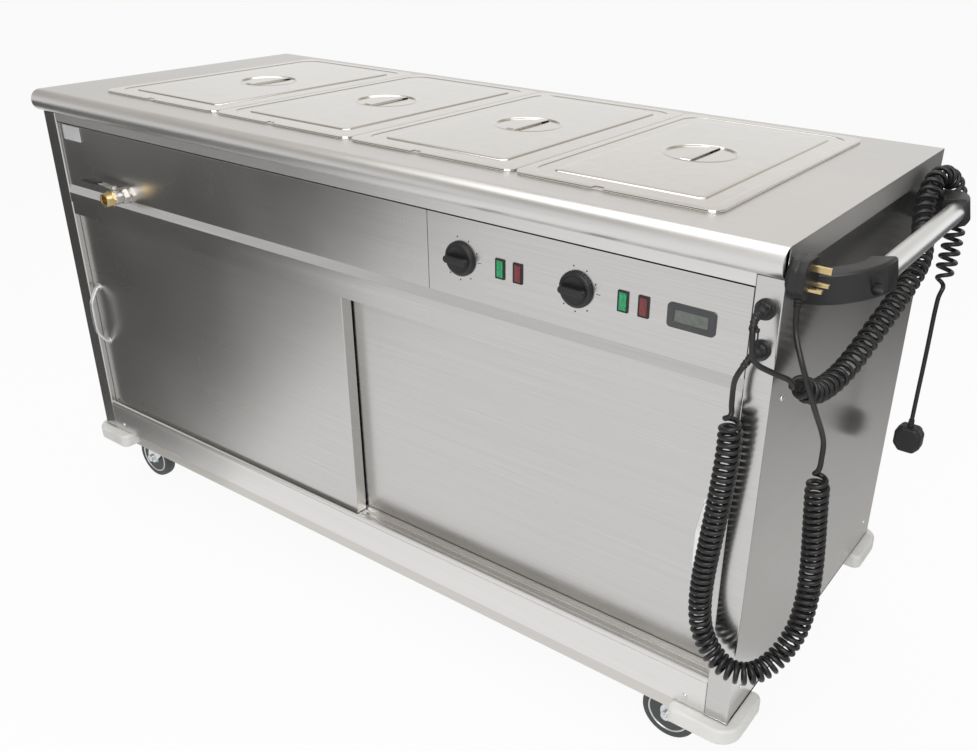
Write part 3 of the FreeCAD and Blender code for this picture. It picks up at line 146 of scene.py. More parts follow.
def newGroup(name, inputs, outputs):
    group = bpy.data.node_groups.new(name, "ShaderNodeTree")
    for label, kind, value in inputs:
        group.interface.new_socket(name=label, in_out="INPUT", socket_type=kind).default_value = value
    for label, kind in outputs:
        group.interface.new_socket(name=label, in_out="OUTPUT", socket_type=kind)
    return group, group.nodes.new("NodeGroupInput"), group.nodes.new("NodeGroupOutput")


skinOutputs = [("Color", "NodeSocketColor"), ("Roughness", "NodeSocketFloat"), ("Height", "NodeSocketFloat")]


def makeGrainGroup():
    # Brushed sheet: fine streaks and broad bands along the stretched axis, with cloudy wiping marks over both.
    group, given, result = newGroup("sheetGrain", [
        ("Stretch", "NodeSocketVector", (1, 1, 1)), ("Tint Dark", "NodeSocketColor", (0.5, 0.5, 0.5, 1)),
        ("Tint Light", "NodeSocketColor", (0.6, 0.6, 0.6, 1)), ("Rough Low", "NodeSocketFloat", 0.2),
        ("Rough High", "NodeSocketFloat", 0.3)], skinOutputs)
    place = addNode(group, "ShaderNodeTexCoord").outputs["Object"]
    stretched = addVectorMath(group, "MULTIPLY", place, given.outputs["Stretch"])
    fine = addNoise(group, stretched, 1.0, 3.0, 0.65)
    cloud = addNoise(group, place, 3.1, 3.0)
    bands = addNoise(group, addVectorMath(group, "MULTIPLY", stretched, (0.16, 0.16, 0.16)), 1.0, 2.0)
    layers = [addMath(group, "MULTIPLY", *pair) for pair in ((fine, 0.6), (bands, 0.15), (cloud, 0.25))]
    total = addMath(group, "ADD", addMath(group, "ADD", layers[0], layers[1]), layers[2])
    contrast = addRange(group, total, 0.3, 0.7)
    tint = addMix(group, contrast, given.outputs["Tint Dark"], given.outputs["Tint Light"])
    soft = addRange(group, cloud, 0.35, 0.7, given.outputs["Rough Low"], given.outputs["Rough High"])
    for label, value in (("Color", tint), ("Roughness", soft), ("Height", bands)):
        group.links.new(value, result.inputs[label])
    return group


def makeMouldGroup():
    # Moulded plastic or rubber: fine stipple, faint cloudy sheen and pale rubbed specks.
    group, given, result = newGroup("mouldedSkin", [
        ("Color", "NodeSocketColor", (0.1, 0.1, 0.1, 1)), ("Worn", "NodeSocketColor", (0.2, 0.2, 0.2, 1)),
        ("Stipple", "NodeSocketFloat", 900.0), ("Rough Low", "NodeSocketFloat", 0.4),
        ("Rough High", "NodeSocketFloat", 0.55)], skinOutputs)
    place = addNode(group, "ShaderNodeTexCoord").outputs["Object"]
    stipple = addNoise(group, place, given.outputs["Stipple"], 2.0)
    cloud = addNoise(group, place, 22.0, 5.0, 0.6)
    tint = addMix(group, addRange(group, cloud, 0.52, 0.8), given.outputs["Color"], given.outputs["Worn"])
    rough = addRange(group, cloud, 0.3, 0.7, given.outputs["Rough Low"], given.outputs["Rough High"])
    for label, value in (("Color", tint), ("Roughness", rough), ("Height", stipple)):
        group.links.new(value, result.inputs[label])
    return group


grainGroup = makeGrainGroup()
mouldGroup = makeMouldGroup()


def skinMaterial(name, group, values, bump, **constants):
    # A material whose colour, roughness and relief come from one of the two groups.
    material, tree, shader = newMaterial(name, **constants)
    skin = addNode(tree, "ShaderNodeGroup", values, node_tree=group)
    relief = {"Height": skin.outputs["Height"], "Distance": bump, "Strength": 1.0}
    raised = addNode(tree, "ShaderNodeBump", relief)
    tree.links.new(skin.outputs["Color"], shader.inputs["Base Color"])
    tree.links.new(skin.outputs["Roughness"], shader.inputs["Roughness"])
    tree.links.new(raised.outputs["Normal"], shader.inputs["Normal"])
    return material


def sheetSteel(name, stretch, dark, light, rough, bump=0.000003):
    values = {"Stretch": stretch, "Tint Dark": (*dark, 1), "Tint Light": (*light, 1),
              "Rough Low": rough[0], "Rough High": rough[1]}
    return skinMaterial(name, grainGroup, values, bump, Metallic=1.0)


def moulded(name, color, worn, rough, stipple=900.0, bump=0.00005):
    values = {"Color": (*color, 1), "Worn": (*worn, 1), "Stipple": stipple,
              "Rough Low": rough[0], "Rough High": rough[1]}
    return skinMaterial(name, mouldGroup, values, bump)


alongX, levelGrain = (4, 420, 420), (4, 4, 420)  # the grain's stretch: along the front, or level all round
steelTones = ((0.545, 0.538, 0.526), (0.615, 0.608, 0.597))
metals = {  # the grain's stretch, dark and light tones, least and most roughness, and relief if not the usual
    "frontSteel": (alongX, *steelTones, (0.24, 0.31)),
    "topSteel": (alongX, (0.69, 0.684, 0.676), (0.75, 0.745, 0.738), (0.34, 0.41)),
    # The rail's steel is the front's steel in lighter tones: painted light on the rail's face and the track
    # floor.
    "railSteelPaintedLight": (alongX, (0.71, 0.70, 0.685), (0.78, 0.77, 0.755), (0.27, 0.34)),
    "endSteel": (levelGrain, *steelTones, (0.19, 0.25)),
    "doorSteel": (alongX, *steelTones, (0.26, 0.33)),
    "edgeSteel": (levelGrain, (0.60, 0.575, 0.545), (0.67, 0.65, 0.62), (0.30, 0.38)),
    "innerSteel": (levelGrain, (0.42, 0.42, 0.42), (0.52, 0.52, 0.52), (0.34, 0.44)),
    "pressedSteel": ((40, 40, 40), (0.64, 0.612, 0.568), (0.69, 0.667, 0.628), (0.11, 0.17)),
    "zincPlate": ((120, 120, 120), (0.58, 0.60, 0.61), (0.74, 0.76, 0.76), (0.22, 0.36)),
    "brightPlate": ((60, 60, 60), (0.66, 0.65, 0.62), (0.78, 0.77, 0.74), (0.10, 0.2), 0.00001),
    "hubPlate": ((90, 90, 90), (0.62, 0.65, 0.66), (0.74, 0.77, 0.77), (0.42, 0.52)),
    "satinAlloy": ((60, 60, 20), (0.80, 0.80, 0.80), (0.88, 0.88, 0.88), (0.36, 0.46)),
    "dullChrome": ((60, 60, 60), (0.50, 0.48, 0.45), (0.62, 0.60, 0.57), (0.24, 0.34)),
    "brassMetal": ((90, 90, 90), (0.52, 0.39, 0.18), (0.72, 0.57, 0.31), (0.24, 0.36), 0.00001),
    "paleTube": ((900, 8, 900), (0.80, 0.81, 0.81), (0.88, 0.89, 0.89), (0.28, 0.36)),
    "heaterSheath": ((70, 70, 70), (0.12, 0.115, 0.11), (0.26, 0.25, 0.24), (0.42, 0.6)),
}
mouldings = {  # colour, worn colour, least and most roughness, and the stipple's scale if not the usual
    "blackPlastic": ((0.009, 0.009, 0.0095), (0.02, 0.02, 0.021), (0.36, 0.5)),
    "bezelPlastic": ((0.05, 0.052, 0.055), (0.07, 0.072, 0.075), (0.34, 0.46)),
    "blackSheath": ((0.006, 0.006, 0.0065), (0.014, 0.014, 0.0145), (0.30, 0.42), 500.0),
    "whitePlastic": ((0.83, 0.83, 0.81), (0.76, 0.755, 0.72), (0.38, 0.52), 300.0),
    "greyTyre": ((0.075, 0.082, 0.08), (0.12, 0.125, 0.125), (0.5, 0.7), 400.0),
    "labelPlate": ((0.60, 0.61, 0.62), (0.66, 0.67, 0.68), (0.30, 0.42), 600.0),
    "whiteInk": ((0.8, 0.8, 0.78), (0.7, 0.7, 0.68), (0.45, 0.6)),
    "blackInk": ((0.02, 0.02, 0.022), (0.05, 0.05, 0.05), (0.5, 0.65)),
}
wheelNames = [f"{end}_{side}" for end in ("front", "back") for side in ("left", "right")]
nodeFinishes = {
    "frontSteel": ["fascia_panel", "control_panel", "door_head"],
    # the bottom rail takes the lighter steel, which is painted light
    "railSteelPaintedLight": ["bottom_rail"],
    "edgeSteel": ["chassis_frame"],
    "topSteel": ["worktop"],
    "endSteel": ["left_side_panel", "right_side_panel", "back_panel"],
    "doorSteel": ["left_door", "right_door"],
    "innerSteel": ["well_tank", "cabinet_floor", "middle_shelf"],
    "pressedSteel": ["pan_rest_bars", *[f"{kind}_{k}" for kind in ("pan", "lid") for k in range(1, 5)]],
    "zincPlate": ["castor_plates", *[f"castor_fork_{name}" for name in wheelNames]],
    "brightPlate": ["drain_valve", "left_door_handle", "right_door_handle"],
    "brassMetal": ["drain_outlet", "plug_a_pins", "plug_b_pins"],
    "paleTube": ["handle_tube"],
    "heaterSheath": ["heating_elements"],
    "blackPlastic": ["thermostats", "lamp_bezels", "handle_brackets", "knob_left", "knob_right",
                     "drain_lever", "cable_glands", "plug_a", "plug_b"],
    "bezelPlastic": ["display_bezel"],
    "blackSheath": ["lead_a_start", "coil_a", "lead_a_end", "lead_b_start", "coil_b", "lead_b_end"],
    "whitePlastic": ["corner_buffers"],
    "greyTyre": [f"castor_wheel_{name}" for name in wheelNames],
    "greenLens": ["green_lenses"],
    "redLens": ["red_lenses"],
    "windowGlass": ["display_window"],
}


def makeLensMaterial(name, deep, crestHighlight, glow):
    # A moulded lens with upright ribs whose crests carry a painted highlight: its colour is lighter on the
    # crests than in the troughs, and it glows in that colour.
    material, tree, shader = newMaterial(name, Coat_Weight=0.6, Coat_Roughness=0.08, Emission_Strength=glow)
    place = addNode(tree, "ShaderNodeTexCoord").outputs["Object"]
    wave = {"Vector": place, "Scale": 160.0, "Distortion": 0.2}
    ribs = addNode(tree, "ShaderNodeTexWave", wave, bands_direction="X").outputs["Fac"]
    mottle = addNoise(tree, place, 260.0, 3.0)
    tint = addRamp(tree, addMath(tree, "MULTIPLY", ribs, mottle), [(0.05, deep), (0.6, crestHighlight)])
    raised = addNode(tree, "ShaderNodeBump", {"Height": ribs, "Distance": 0.0003})
    for socket in ("Base Color", "Emission Color"):
        tree.links.new(tint, shader.inputs[socket])
    tree.links.new(addRamp(tree, mottle, [(0.3, 0.15), (0.7, 0.3)]), shader.inputs["Roughness"])
    tree.links.new(raised.outputs["Normal"], shader.inputs["Normal"])
    return material


def makeWindowMaterial():
    # The display's grey-green glass, softly mottled, with no figures.
    material, tree, shader = newMaterial("windowGlass", Coat_Weight=0.8, Coat_Roughness=0.04)
    place = addNode(tree, "ShaderNodeTexCoord").outputs["Object"]
    mottle = addNoise(tree, place, 120.0, 4.0)
    tones = [(0.3, (0.075, 0.085, 0.075)), (0.7, (0.13, 0.145, 0.125))]
    tree.links.new(addRamp(tree, mottle, tones), shader.inputs["Base Color"])
    tree.links.new(addRamp(tree, mottle, [(0.3, 0.1), (0.7, 0.2)]), shader.inputs["Roughness"])
    return material


finish = {name: sheetSteel(name, *values) for name, values in metals.items()}
finish |= {name: moulded(name, *values) for name, values in mouldings.items()}
finish["greenLens"] = makeLensMaterial("greenLens", (0.0, 0.11, 0.035), (0.01, 0.50, 0.18), 0.25)
finish["redLens"] = makeLensMaterial("redLens", (0.10, 0.006, 0.008), (0.28, 0.03, 0.035), 0.05)
finish["windowGlass"] = makeWindowMaterial()
for key, names in nodeFinishes.items():
    for name in names:
        slots = nodes[name].data.materials
        slots.clear()
        slots.append(finish[key])
missing = set(nodes) - {name for names in nodeFinishes.values() for name in names}
print("materials made, nodes without one:", sorted(missing))


# Shapes.
def gridShape(grid, ring=True, caps=(True, True)):
    # Rows of points joined to quads. A ring closes each row, and a cap is a fan to the row's mean point.
    grid = np.asarray(grid, float)
    rows, count = grid.shape[:2]
    points = grid.reshape(-1, 3)
    index = np.arange(rows * count).reshape(rows, count)
    if ring:
        index = np.hstack([index, index[:, :1]])
    quads = np.stack([index[:-1, :-1], index[:-1, 1:], index[1:, 1:], index[1:, :-1]], axis=-1).reshape(-1, 4)
    triangles = np.zeros((0, 3), int)
    for wanted, row, swap in ((caps[0], 0, True), (caps[1], -1, False)):
        if ring and wanted:
            hub = len(points)
            points = np.vstack([points, grid[row].mean(0)])
            edge = np.stack([index[row, :-1], index[row, 1:], np.full(count, hub)], axis=-1)
            triangles = np.vstack([triangles, edge[:, [1, 0, 2]] if swap else edge])
    return outward(points, quads, triangles) if ring and all(caps) else (points, quads, triangles)


def outward(points, quads, triangles):
    # Turns a closed shape's faces round if its signed volume is negative.
    volume = 0.0
    for faces in (quads, triangles):
        for k in range(1, faces.shape[1] - 1):
            a, b, c = points[faces[:, 0]], points[faces[:, k]], points[faces[:, k + 1]]
            volume += float((a * np.cross(b, c)).sum())
    return (points, quads, triangles) if volume >= 0 else (points, quads[:, ::-1], triangles[:, ::-1])


def together(*shapes):
    # Several shapes as one.
    points, quads, triangles, base = [], [], [], 0
    for shape in shapes:
        points.append(shape[0])
        quads.append(shape[1] + base)
        triangles.append(shape[2] + base)
        base += len(shape[0])
    return np.vstack(points), np.vstack(quads), np.vstack(triangles)


def moved(shape, offset):
    return shape[0] + np.asarray(offset, float), shape[1], shape[2]


axesOf = {  # across, up and outward directions of a shape that is built in a plane
    "top": ((1, 0, 0), (0, 1, 0), (0, 0, 1)), "front": ((1, 0, 0), (0, 0, 1), (0, -1, 0)),
    "end": ((0, 1, 0), (0, 0, 1), (1, 0, 0)), "back": ((-1, 0, 0), (0, 0, 1), (0, 1, 0)),
}


def stacked(rings, facing, centre):
    # Rings of (across, up, out) points, turned to face one way and set at a centre. The first and the last ring
    # are each closed by a face, which suits a solid but not an open shell.
    turned = np.asarray(rings, float) @ np.array(axesOf[facing], float) + np.asarray(centre, float)
    return gridShape(turned)


def circleRing(radius, count):
    angle = np.linspace(0, 2 * math.pi, count, endpoint=False)
    return np.stack([radius * np.cos(angle), radius * np.sin(angle)], axis=-1)


def roundRing(width, length, radius, perCorner=8):
    # A rectangle with round corners, started on its right side and run round to the left.
    angle = np.linspace(0, math.pi / 2, perCorner)
    parts = []
    for k, (sx, sy) in enumerate(((1, 1), (-1, 1), (-1, -1), (1, -1))):
        centre = np.array([sx * (width / 2 - radius), sy * (length / 2 - radius)])
        turn = angle + k * math.pi / 2
        parts.append(centre + radius * np.stack([np.cos(turn), np.sin(turn)], axis=-1))
    return np.vstack(parts)


def lifted(ring, height):
    return np.hstack([ring, np.full((len(ring), 1), height)])


def turnedShape(profile, facing, centre, count=48):
    # A profile of (radius, height) carried round its axis.
    return stacked([lifted(circleRing(radius, count), height) for radius, height in profile], facing, centre)


def padShape(width, length, corner, depth, edge, facing, centre, start=0.0, perCorner=8, steps=4):
    # A flat block with round corners whose front edge rolls over by a quarter circle.
    rings = [lifted(roundRing(width, length, corner, perCorner), start)]
    for angle in np.linspace(0, math.pi / 2, steps + 1):
        inset = edge * (1 - math.cos(angle))
        height = depth - edge + edge * math.sin(angle)
        ring = roundRing(width - 2 * inset, length - 2 * inset, max(corner - inset, 1e-5), perCorner)
        rings.append(lifted(ring, height))
    return stacked(rings, facing, centre)


def hexShape(across, height, chamfer, facing, centre, start=0.0, turn=0.0):
    # A six-sided nut: a hexagon cut by a cone at both ends, over its corners.
    count = 48
    angle = np.linspace(0, 2 * math.pi, count, endpoint=False)
    flat = (across / 2) / np.cos((angle + turn) % (math.pi / 3) - math.pi / 6)
    cone = across / 2 * 0.97
    rings = []
    for limit, level in ((cone, start), (across, start + chamfer), (across, height - chamfer), (cone, height)):
        radius = np.minimum(flat, limit)
        rings.append(np.stack([radius * np.cos(angle), radius * np.sin(angle), np.full(count, level)], axis=-1))
    return stacked(rings, facing, centre)


usualHint = (0.31, 0.87, 0.37)  # a direction that no swept line here runs along


def framesAlong(line, hint=usualHint):
    # Directions and two steady side vectors along a line of points, each turned from the one before.
    along = np.gradient(line, axis=0)
    along /= np.linalg.norm(along, axis=1)[:, None]
    side = np.cross(along[0], hint)
    side /= np.linalg.norm(side)
    sides = []
    for direction in along:
        side = side - direction * side.dot(direction)
        side = side / np.linalg.norm(side)
        sides.append(side)
    sides = np.array(sides)
    return along, sides, np.cross(along, sides)


def sweptShape(line, section, hint=usualHint, scale=None):
    # A closed section carried along a line, with capped ends; scale gives its size at each point.
    line, section = np.asarray(line, float), np.asarray(section, float)
    along, first, second = framesAlong(line, hint)
    size = np.ones(len(line)) if scale is None else np.asarray(scale, float)
    rings = line[:, None] + size[:, None, None] * (
        section[None, :, :1] * first[:, None] + section[None, :, 1:] * second[:, None]
    )
    return gridShape(rings)


def lengthsAlong(line):
    # The distance from the line's start to each of its points.
    return np.concatenate([[0], np.cumsum(np.linalg.norm(np.diff(line, axis=0), axis=1))])


def pointsAlong(line, distance):
    # The line's places at the given distances from its start.
    reach = lengthsAlong(line)
    return np.stack([np.interp(distance, reach, line[:, k]) for k in range(3)], axis=-1)


def smoothLine(points, count):
    # Evenly spaced points along a few control points whose corners are cut off twice.
    points = np.asarray(points, float)
    for _ in range(2):
        cut = np.empty((2 * len(points) - 2, 3))
        cut[0::2] = 0.75 * points[:-1] + 0.25 * points[1:]
        cut[1::2] = 0.25 * points[:-1] + 0.75 * points[1:]
        points = np.vstack([points[:1], cut, points[-1:]])
    return pointsAlong(points, np.linspace(0, lengthsAlong(points)[-1], count))


def makePiece(name, shape, material, body, stands=(), crease=38):
    points, quads, triangles = shape
    mesh = bpy.data.meshes.new(name)
    mesh.from_pydata(points.tolist(), [], quads.tolist() + triangles.tolist())
    mesh.validate()
    mesh.shade_smooth()
    mesh.set_sharp_from_angle(angle=math.radians(crease))
    mesh.materials.append(finish[material])
    piece = bpy.data.objects.new(name, mesh)
    bpy.context.scene.collection.objects.link(piece)
    piece.modifiers.new("evenShading", "WEIGHTED_NORMAL").keep_sharp = True
    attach(piece, body)
    if stands:
        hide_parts(*stands)
    return piece


# Mains leads.
leadRoutes = {  # millimetres from the cabinet's middle, front and the floor
    "leadA": {
        "start": [(748.6, -18, 765), (748.6, -30, 765), (742, -36, 752), (734, -33, 735), (730, -26, 719),
                  (730, -25, 702)],
        "curly": [(730, -25, 702), (730, -24.3, 690.1), (730, -23.6, 678.2), (733, -23, 645), (731, -23, 600),
                  (727, -23, 545), (722, -23, 489), (717, -23, 432), (716, -23, 382), (722, -24, 340),
                  (742, -25, 308), (770, -29, 294), (795, -18, 290), (811, 5, 293), (823, 30, 308),
                  (834, 49, 340), (837, 60, 382), (835, 67, 425), (832, 66, 475), (829, 61, 525),
                  (827, 58, 562), (826, 57, 588), (826, 57, 601), (826, 57, 614)],
        "end": [(826, 57, 614), (826, 57, 636), (824, 44, 660), (823, 21, 688), (821.5, -1, 718),
                (816, -14, 746), (805, -14, 772), (790, -2, 796), (786, 1, 815), (786, 1, 828)],
        "curls": 75, "nodes": ("lead_a_start", "coil_a", "lead_a_end"),
    },
    "leadB": {
        "start": [(748.6, -18, 818), (748.6, -28, 818), (750, -37, 808), (753, -40, 791), (754.5, -41, 775),
                  (760, -38, 763), (769, -31, 757), (776, -26, 753)],
        "curly": [(776, -26, 753), (783.7, -20.5, 748.6), (792.8, -14, 743.4), (802, 6, 731), (806, 38, 708),
                  (809, 84, 700), (813, 130, 704), (817, 172, 718), (821, 212, 736), (826, 250, 754),
                  (830, 290, 775), (832, 330, 793), (826, 372, 803), (811, 415, 816), (798, 452, 838),
                  (791, 490, 866), (793, 522, 880), (800, 552, 876), (809, 575, 855), (817, 582, 822),
                  (821, 577, 780), (822, 565, 740), (822, 554, 701), (822, 552, 684), (822, 550, 667)],
        "end": [(822, 550, 667), (822, 548, 650), (823, 545, 610), (823, 545, 560), (822, 547, 505),
                (822, 547, 458)],
        "curls": 50, "nodes": ("lead_b_start", "coil_b", "lead_b_end"),
    },
}
leadLook = {"wire": 0.0072, "curl": 0.033, "pointsPerCurl": 8, "rampCurls": 3.6}


def splineObject(name, points, radius=0.0):
    # A smooth open curve whose control points are the given ones.
    curve = bpy.data.curves.new(name, "CURVE")
    curve.dimensions = "3D"
    spline = curve.splines.new("NURBS")
    spline.points.add(len(points) - 1)
    weighted = np.hstack([points, np.ones((len(points), 1))])
    spline.points.foreach_set("co", weighted.astype(np.float32).ravel())
    spline.order_u = 3
    spline.use_endpoint_u = True
    spline.resolution_u = 3 if radius else 12
    curve.bevel_depth = radius
    curve.bevel_resolution = 3
    curve.use_fill_caps = bool(radius)
    return bpy.data.objects.new(name, curve)


def readLine(points):
    # The points along the smooth curve that the control points draw.
    drawn = splineObject("routeOnly", points)
    mesh = bpy.data.meshes.new_from_object(drawn)
    line = np.zeros(len(mesh.vertices) * 3, np.float32)
    mesh.vertices.foreach_get("co", line)
    bpy.data.meshes.remove(mesh)
    bpy.data.curves.remove(drawn.data)
    return line.reshape(-1, 3).astype(float)


def easing(share):
    share = np.clip(share, 0, 1)
    return share * share * (3 - 2 * share)


def curlPoints(route, curls, look):
    # Control points that wind round the route: the radius and the winding rate rise together at the ends,
    # and the radius is made larger by what a smooth curve loses inside its control points.
    line = readLine(route)
    total = lengthsAlong(line)[-1]
    stub = look["wire"]
    distance = np.linspace(stub, total - stub, curls * look["pointsPerCurl"] + 1)
    centre = pointsAlong(line, distance)
    ease = look["rampCurls"] * (total - 2 * stub) / curls
    ramp = easing((distance - stub) / ease) * easing((total - stub - distance) / ease)
    angle = 2 * math.pi * curls * (np.cumsum(ramp) - ramp[0]) / ramp.sum()
    half = math.pi / look["pointsPerCurl"]
    radius = (look["curl"] - look["wire"]) / 2 / (0.5 + 0.5 * math.cos(half) ** 2)
    first, second = framesAlong(centre, (0.3, 0.9, 0.2))[1:]
    offset = first * np.cos(angle)[:, None] + second * np.sin(angle)[:, None]
    return centre + offset * (radius * ramp)[:, None]


def makeLead(name, route, look):
    start, curly, end = (np.array([spot(*p) for p in route[key]]) for key in ("start", "curly", "end"))
    wound = curlPoints(curly, route["curls"], look)
    points = np.vstack([start, wound, end])
    lead = splineObject(name, points, look["wire"] / 2)
    lead.data.materials.append(finish["blackSheath"])
    bpy.context.scene.collection.objects.link(lead)
    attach(lead, "cabinet")
    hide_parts(*route["nodes"])
    length = float(lengthsAlong(readLine(points))[-1])
    print(name, "length", round(length, 3))
    return lead, length


leads = {name: makeLead(name, route, leadLook) for name, route in leadRoutes.items()}


reliefLook = {"length": 0.024, "wide": 0.0062, "narrow": 0.0044, "ribs": 5, "ribDepth": 0.0007,
              "count": 60}


def reliefShape(line, look):
    # A tapered sleeve with ribs: its radius falls along the lead and dips between the ribs.
    share = np.linspace(0, 1, len(line))
    radius = look["wide"] + (look["narrow"] - look["wide"]) * share
    rib = (0.5 + 0.5 * np.cos(2 * math.pi * look["ribs"] * share)) * (share > 0.04)
    radius = radius - look["ribDepth"] * rib
    return sweptShape(line, circleRing(1.0, 20), scale=radius)


for name in ("leadA", "leadB"):
    route = np.array([spot(*p) for p in leadRoutes[name]["start"]])
    sleeveLine = pointsAlong(readLine(route), np.linspace(0.0, reliefLook["length"], reliefLook["count"]))
    makePiece(name + "GlandSleeve", reliefShape(sleeveLine, reliefLook), "blackPlastic", "cabinet")
print("mains leads made")


# Lids and pans.
lidLook = {  # edge: (inset, height) of each ring, from the rim down into the gutter and up to the raised middle
    "width": 0.3244, "length": 0.530, "corner": 0.020, "perCorner": 10, "sheet": 0.001,
    "notchWidth": 0.016, "notchDepth": 0.009, "notchPlace": -0.019, "notchEase": 0.002,
    "gutterEdge": 0.0150, "gutterCorner": 0.052, "leastCorner": 0.006, "above": 0.0024,
    "edge": [(0.0, 0.0002), (0.0002, 0.0008), (0.0008, 0.0011), (0.0145, 0.0012), (0.0158, 0.0010),
             (0.0172, 0.0004), (0.0240, -0.0030), (0.0258, -0.0038), (0.0280, -0.0042), (0.0350, -0.0042),
             (0.0366, -0.0038), (0.0380, -0.0028), (0.0412, 0.0006), (0.0424, 0.0014), (0.0440, 0.0018),
             (0.052, 0.0019)],
    "dish": [(0.062, 0.0019), (0.0585, 0.0020), (0.0568, 0.0025), (0.0556, 0.0024), (0.0542, 0.0014),
             (0.0470, -0.0072), (0.0452, -0.0088), (0.0425, -0.0102), (0.0380, -0.0112), (0.0180, -0.0108)],
    "strapWidth": 0.0165, "strapRise": 0.0026, "strapThick": 0.0012, "strapHalf": 0.0545, "strapBow": 0.0006,
    "strapEnd": (0.92, 0.08, 0.004),  # where the strap turns down, over what share, and how far
}
frontRun = np.concatenate([[-0.12, -0.06], np.linspace(-0.032, -0.006, 27), [0.012, 0.03, 0.05, 0.08, 0.10]])
sideRun = 0.11 * np.tan(np.radians(np.linspace(-56, 56, 25)))  # even turns about the lid's middle
backRun = 0.21 * np.tan(np.radians(np.linspace(22, -22, 9)))


def lidRing(look, inset):
    # The lid's outline moved inwards, with points of its own on each side. The front run dips in at the notch.
    outer = look["gutterCorner"] if inset > look["gutterEdge"] - 0.002 else look["corner"]
    corner = max(outer - inset, look["leastCorner"])
    width, length, turn = look["width"] - 2 * inset, look["length"] - 2 * inset, look["perCorner"]
    ring = roundRing(width, length, corner, turn)
    reach = width / 2 - corner
    fromEdge = np.abs(frontRun - look["notchPlace"]) - look["notchWidth"] / 2
    dip = max(look["notchDepth"] - inset, 0.0) * easing(0.5 - fromEdge / look["notchEase"])
    front = np.stack([np.clip(frontRun, -reach, reach), -length / 2 + dip], axis=-1)
    right = np.stack([np.full(len(sideRun), width / 2), sideRun], axis=-1)
    back = np.stack([np.clip(backRun, -reach, reach), np.full(len(backRun), length / 2)], axis=-1)
    return np.vstack([ring[:turn], back, ring[turn:2 * turn], right[::-1] * (-1, 1), ring[2 * turn:3 * turn],
                      front, ring[3 * turn:], right])


def makeLidShape(look):
    # Rings from the rim down into the gutter and up to the middle, then round rings down into the dish, and
    # back below. Closing the first and the last ring leaves two faces across the lid, above the gutter's floor.
    upper = [lifted(lidRing(look, inset), height) for inset, height in look["edge"]]
    last = upper[-1][:, :2]
    angle = np.arctan2(last[:, 1], last[:, 0])
    outwards = np.stack([np.cos(angle), np.sin(angle)], axis=-1)
    upper += [lifted(radius * outwards, height) for radius, height in look["dish"]]
    lower = [ring - np.array([0, 0, look["sheet"]]) for ring in upper[::-1][:-3]]
    lower += [lifted(lidRing(look, 0.0008), 0.0), lifted(lidRing(look, 0.0002), 0.0001)]
    return stacked(upper + lower, "top", (0, 0, 0))


def lidStrapShape(look):
    # The grip: a flat strip across the dish, bowed a little upwards and turned down into the wall at its ends.
    along = np.linspace(-1, 1, 25)
    start, over, drop = look["strapEnd"]
    rise = look["strapRise"] - look["strapBow"] * along ** 2 - drop * easing((np.abs(along) - start) / over)
    line = np.stack([0 * along, along * look["strapHalf"], rise], axis=-1)
    section = roundRing(look["strapThick"], look["strapWidth"], 0.0005, 3)
    return sweptShape(line, section, hint=(1, 0, 0))


panLook = {  # rings as (inset, height, corner): over the rolled rim, then down the wall to the floor
    "width": 0.3244, "length": 0.530, "sheet": 0.001, "pitch": 325, "middle": 61 + 265, "top": 900,
    "rim": [(0.0004, 0.0002, 0.0196), (0.0, 0.0009, 0.020), (0.0003, 0.0018, 0.0197), (0.0012, 0.0023, 0.0188),
            (0.009, 0.0023, 0.018)],
    "wall": [(0.0115, 0.0019, 0.038), (0.0135, 0.0005, 0.037), (0.0148, -0.004, 0.036),
             (0.0205, -0.136, 0.032), (0.0225, -0.1435, 0.030), (0.028, -0.148, 0.026), (0.040, -0.149, 0.02)],
    "under": (0.0118, 0.0002, 0.030),
}


def makePanShape(look):
    # Rings over the rolled rim, down the tapered wall with a soft shoulder, onto the floor's edge and back
    # outside. The floor stops at the last inset, and closing the first and the last ring shuts the mouth.
    sheet = look["sheet"]
    outside = [(inset - sheet, height - sheet, corner + sheet)
               for inset, height, corner in look["wall"][::-1][:-2]]
    rings = [lifted(roundRing(look["width"] - 2 * inset, look["length"] - 2 * inset, corner, 10), height)
             for inset, height, corner in look["rim"] + look["wall"] + outside + [look["under"]]]
    return stacked(rings, "top", (0, 0, 0))


lidShape, panShape = together(makeLidShape(lidLook), lidStrapShape(lidLook)), makePanShape(panLook)
for number in range(1, 5):
    panPlace = spot(panLook["pitch"] * (number - 2.5), panLook["middle"], panLook["top"])
    lidPlace = panPlace + (0, 0, lidLook["above"])
    for kind, shape, place in (("pan", panShape, panPlace), ("lid", lidShape, lidPlace)):
        makePiece(f"{kind}{number}", moved(shape, place), "pressedSteel", f"{kind}_unit_{number}",
                  [f"{kind}_{number}"])
print("pans and lids made")


# Dials and their marks.
dialLook = {  # skirt: (radius, height, share of the fluting); grip: length and width of the bar at its foot
    "skirt": [(0.0257, 0.0, 0), (0.026, 0.0006, 1), (0.0258, 0.0038, 1), (0.0246, 0.0056, 0.4),
              (0.023, 0.0065, 0), (0.0205, 0.0069, 0), (0.0195, 0.0062, 0), (0.016, 0.0058, 0)],
    "flutes": 36, "fluteDepth": 0.0003, "grip": (0.0425, 0.0120), "foot": 0.0050, "reach": 0.0165,
}
dialSpots = {"left": spot(278, 3.5, 779), "right": spot(479, 3.5, 779)}


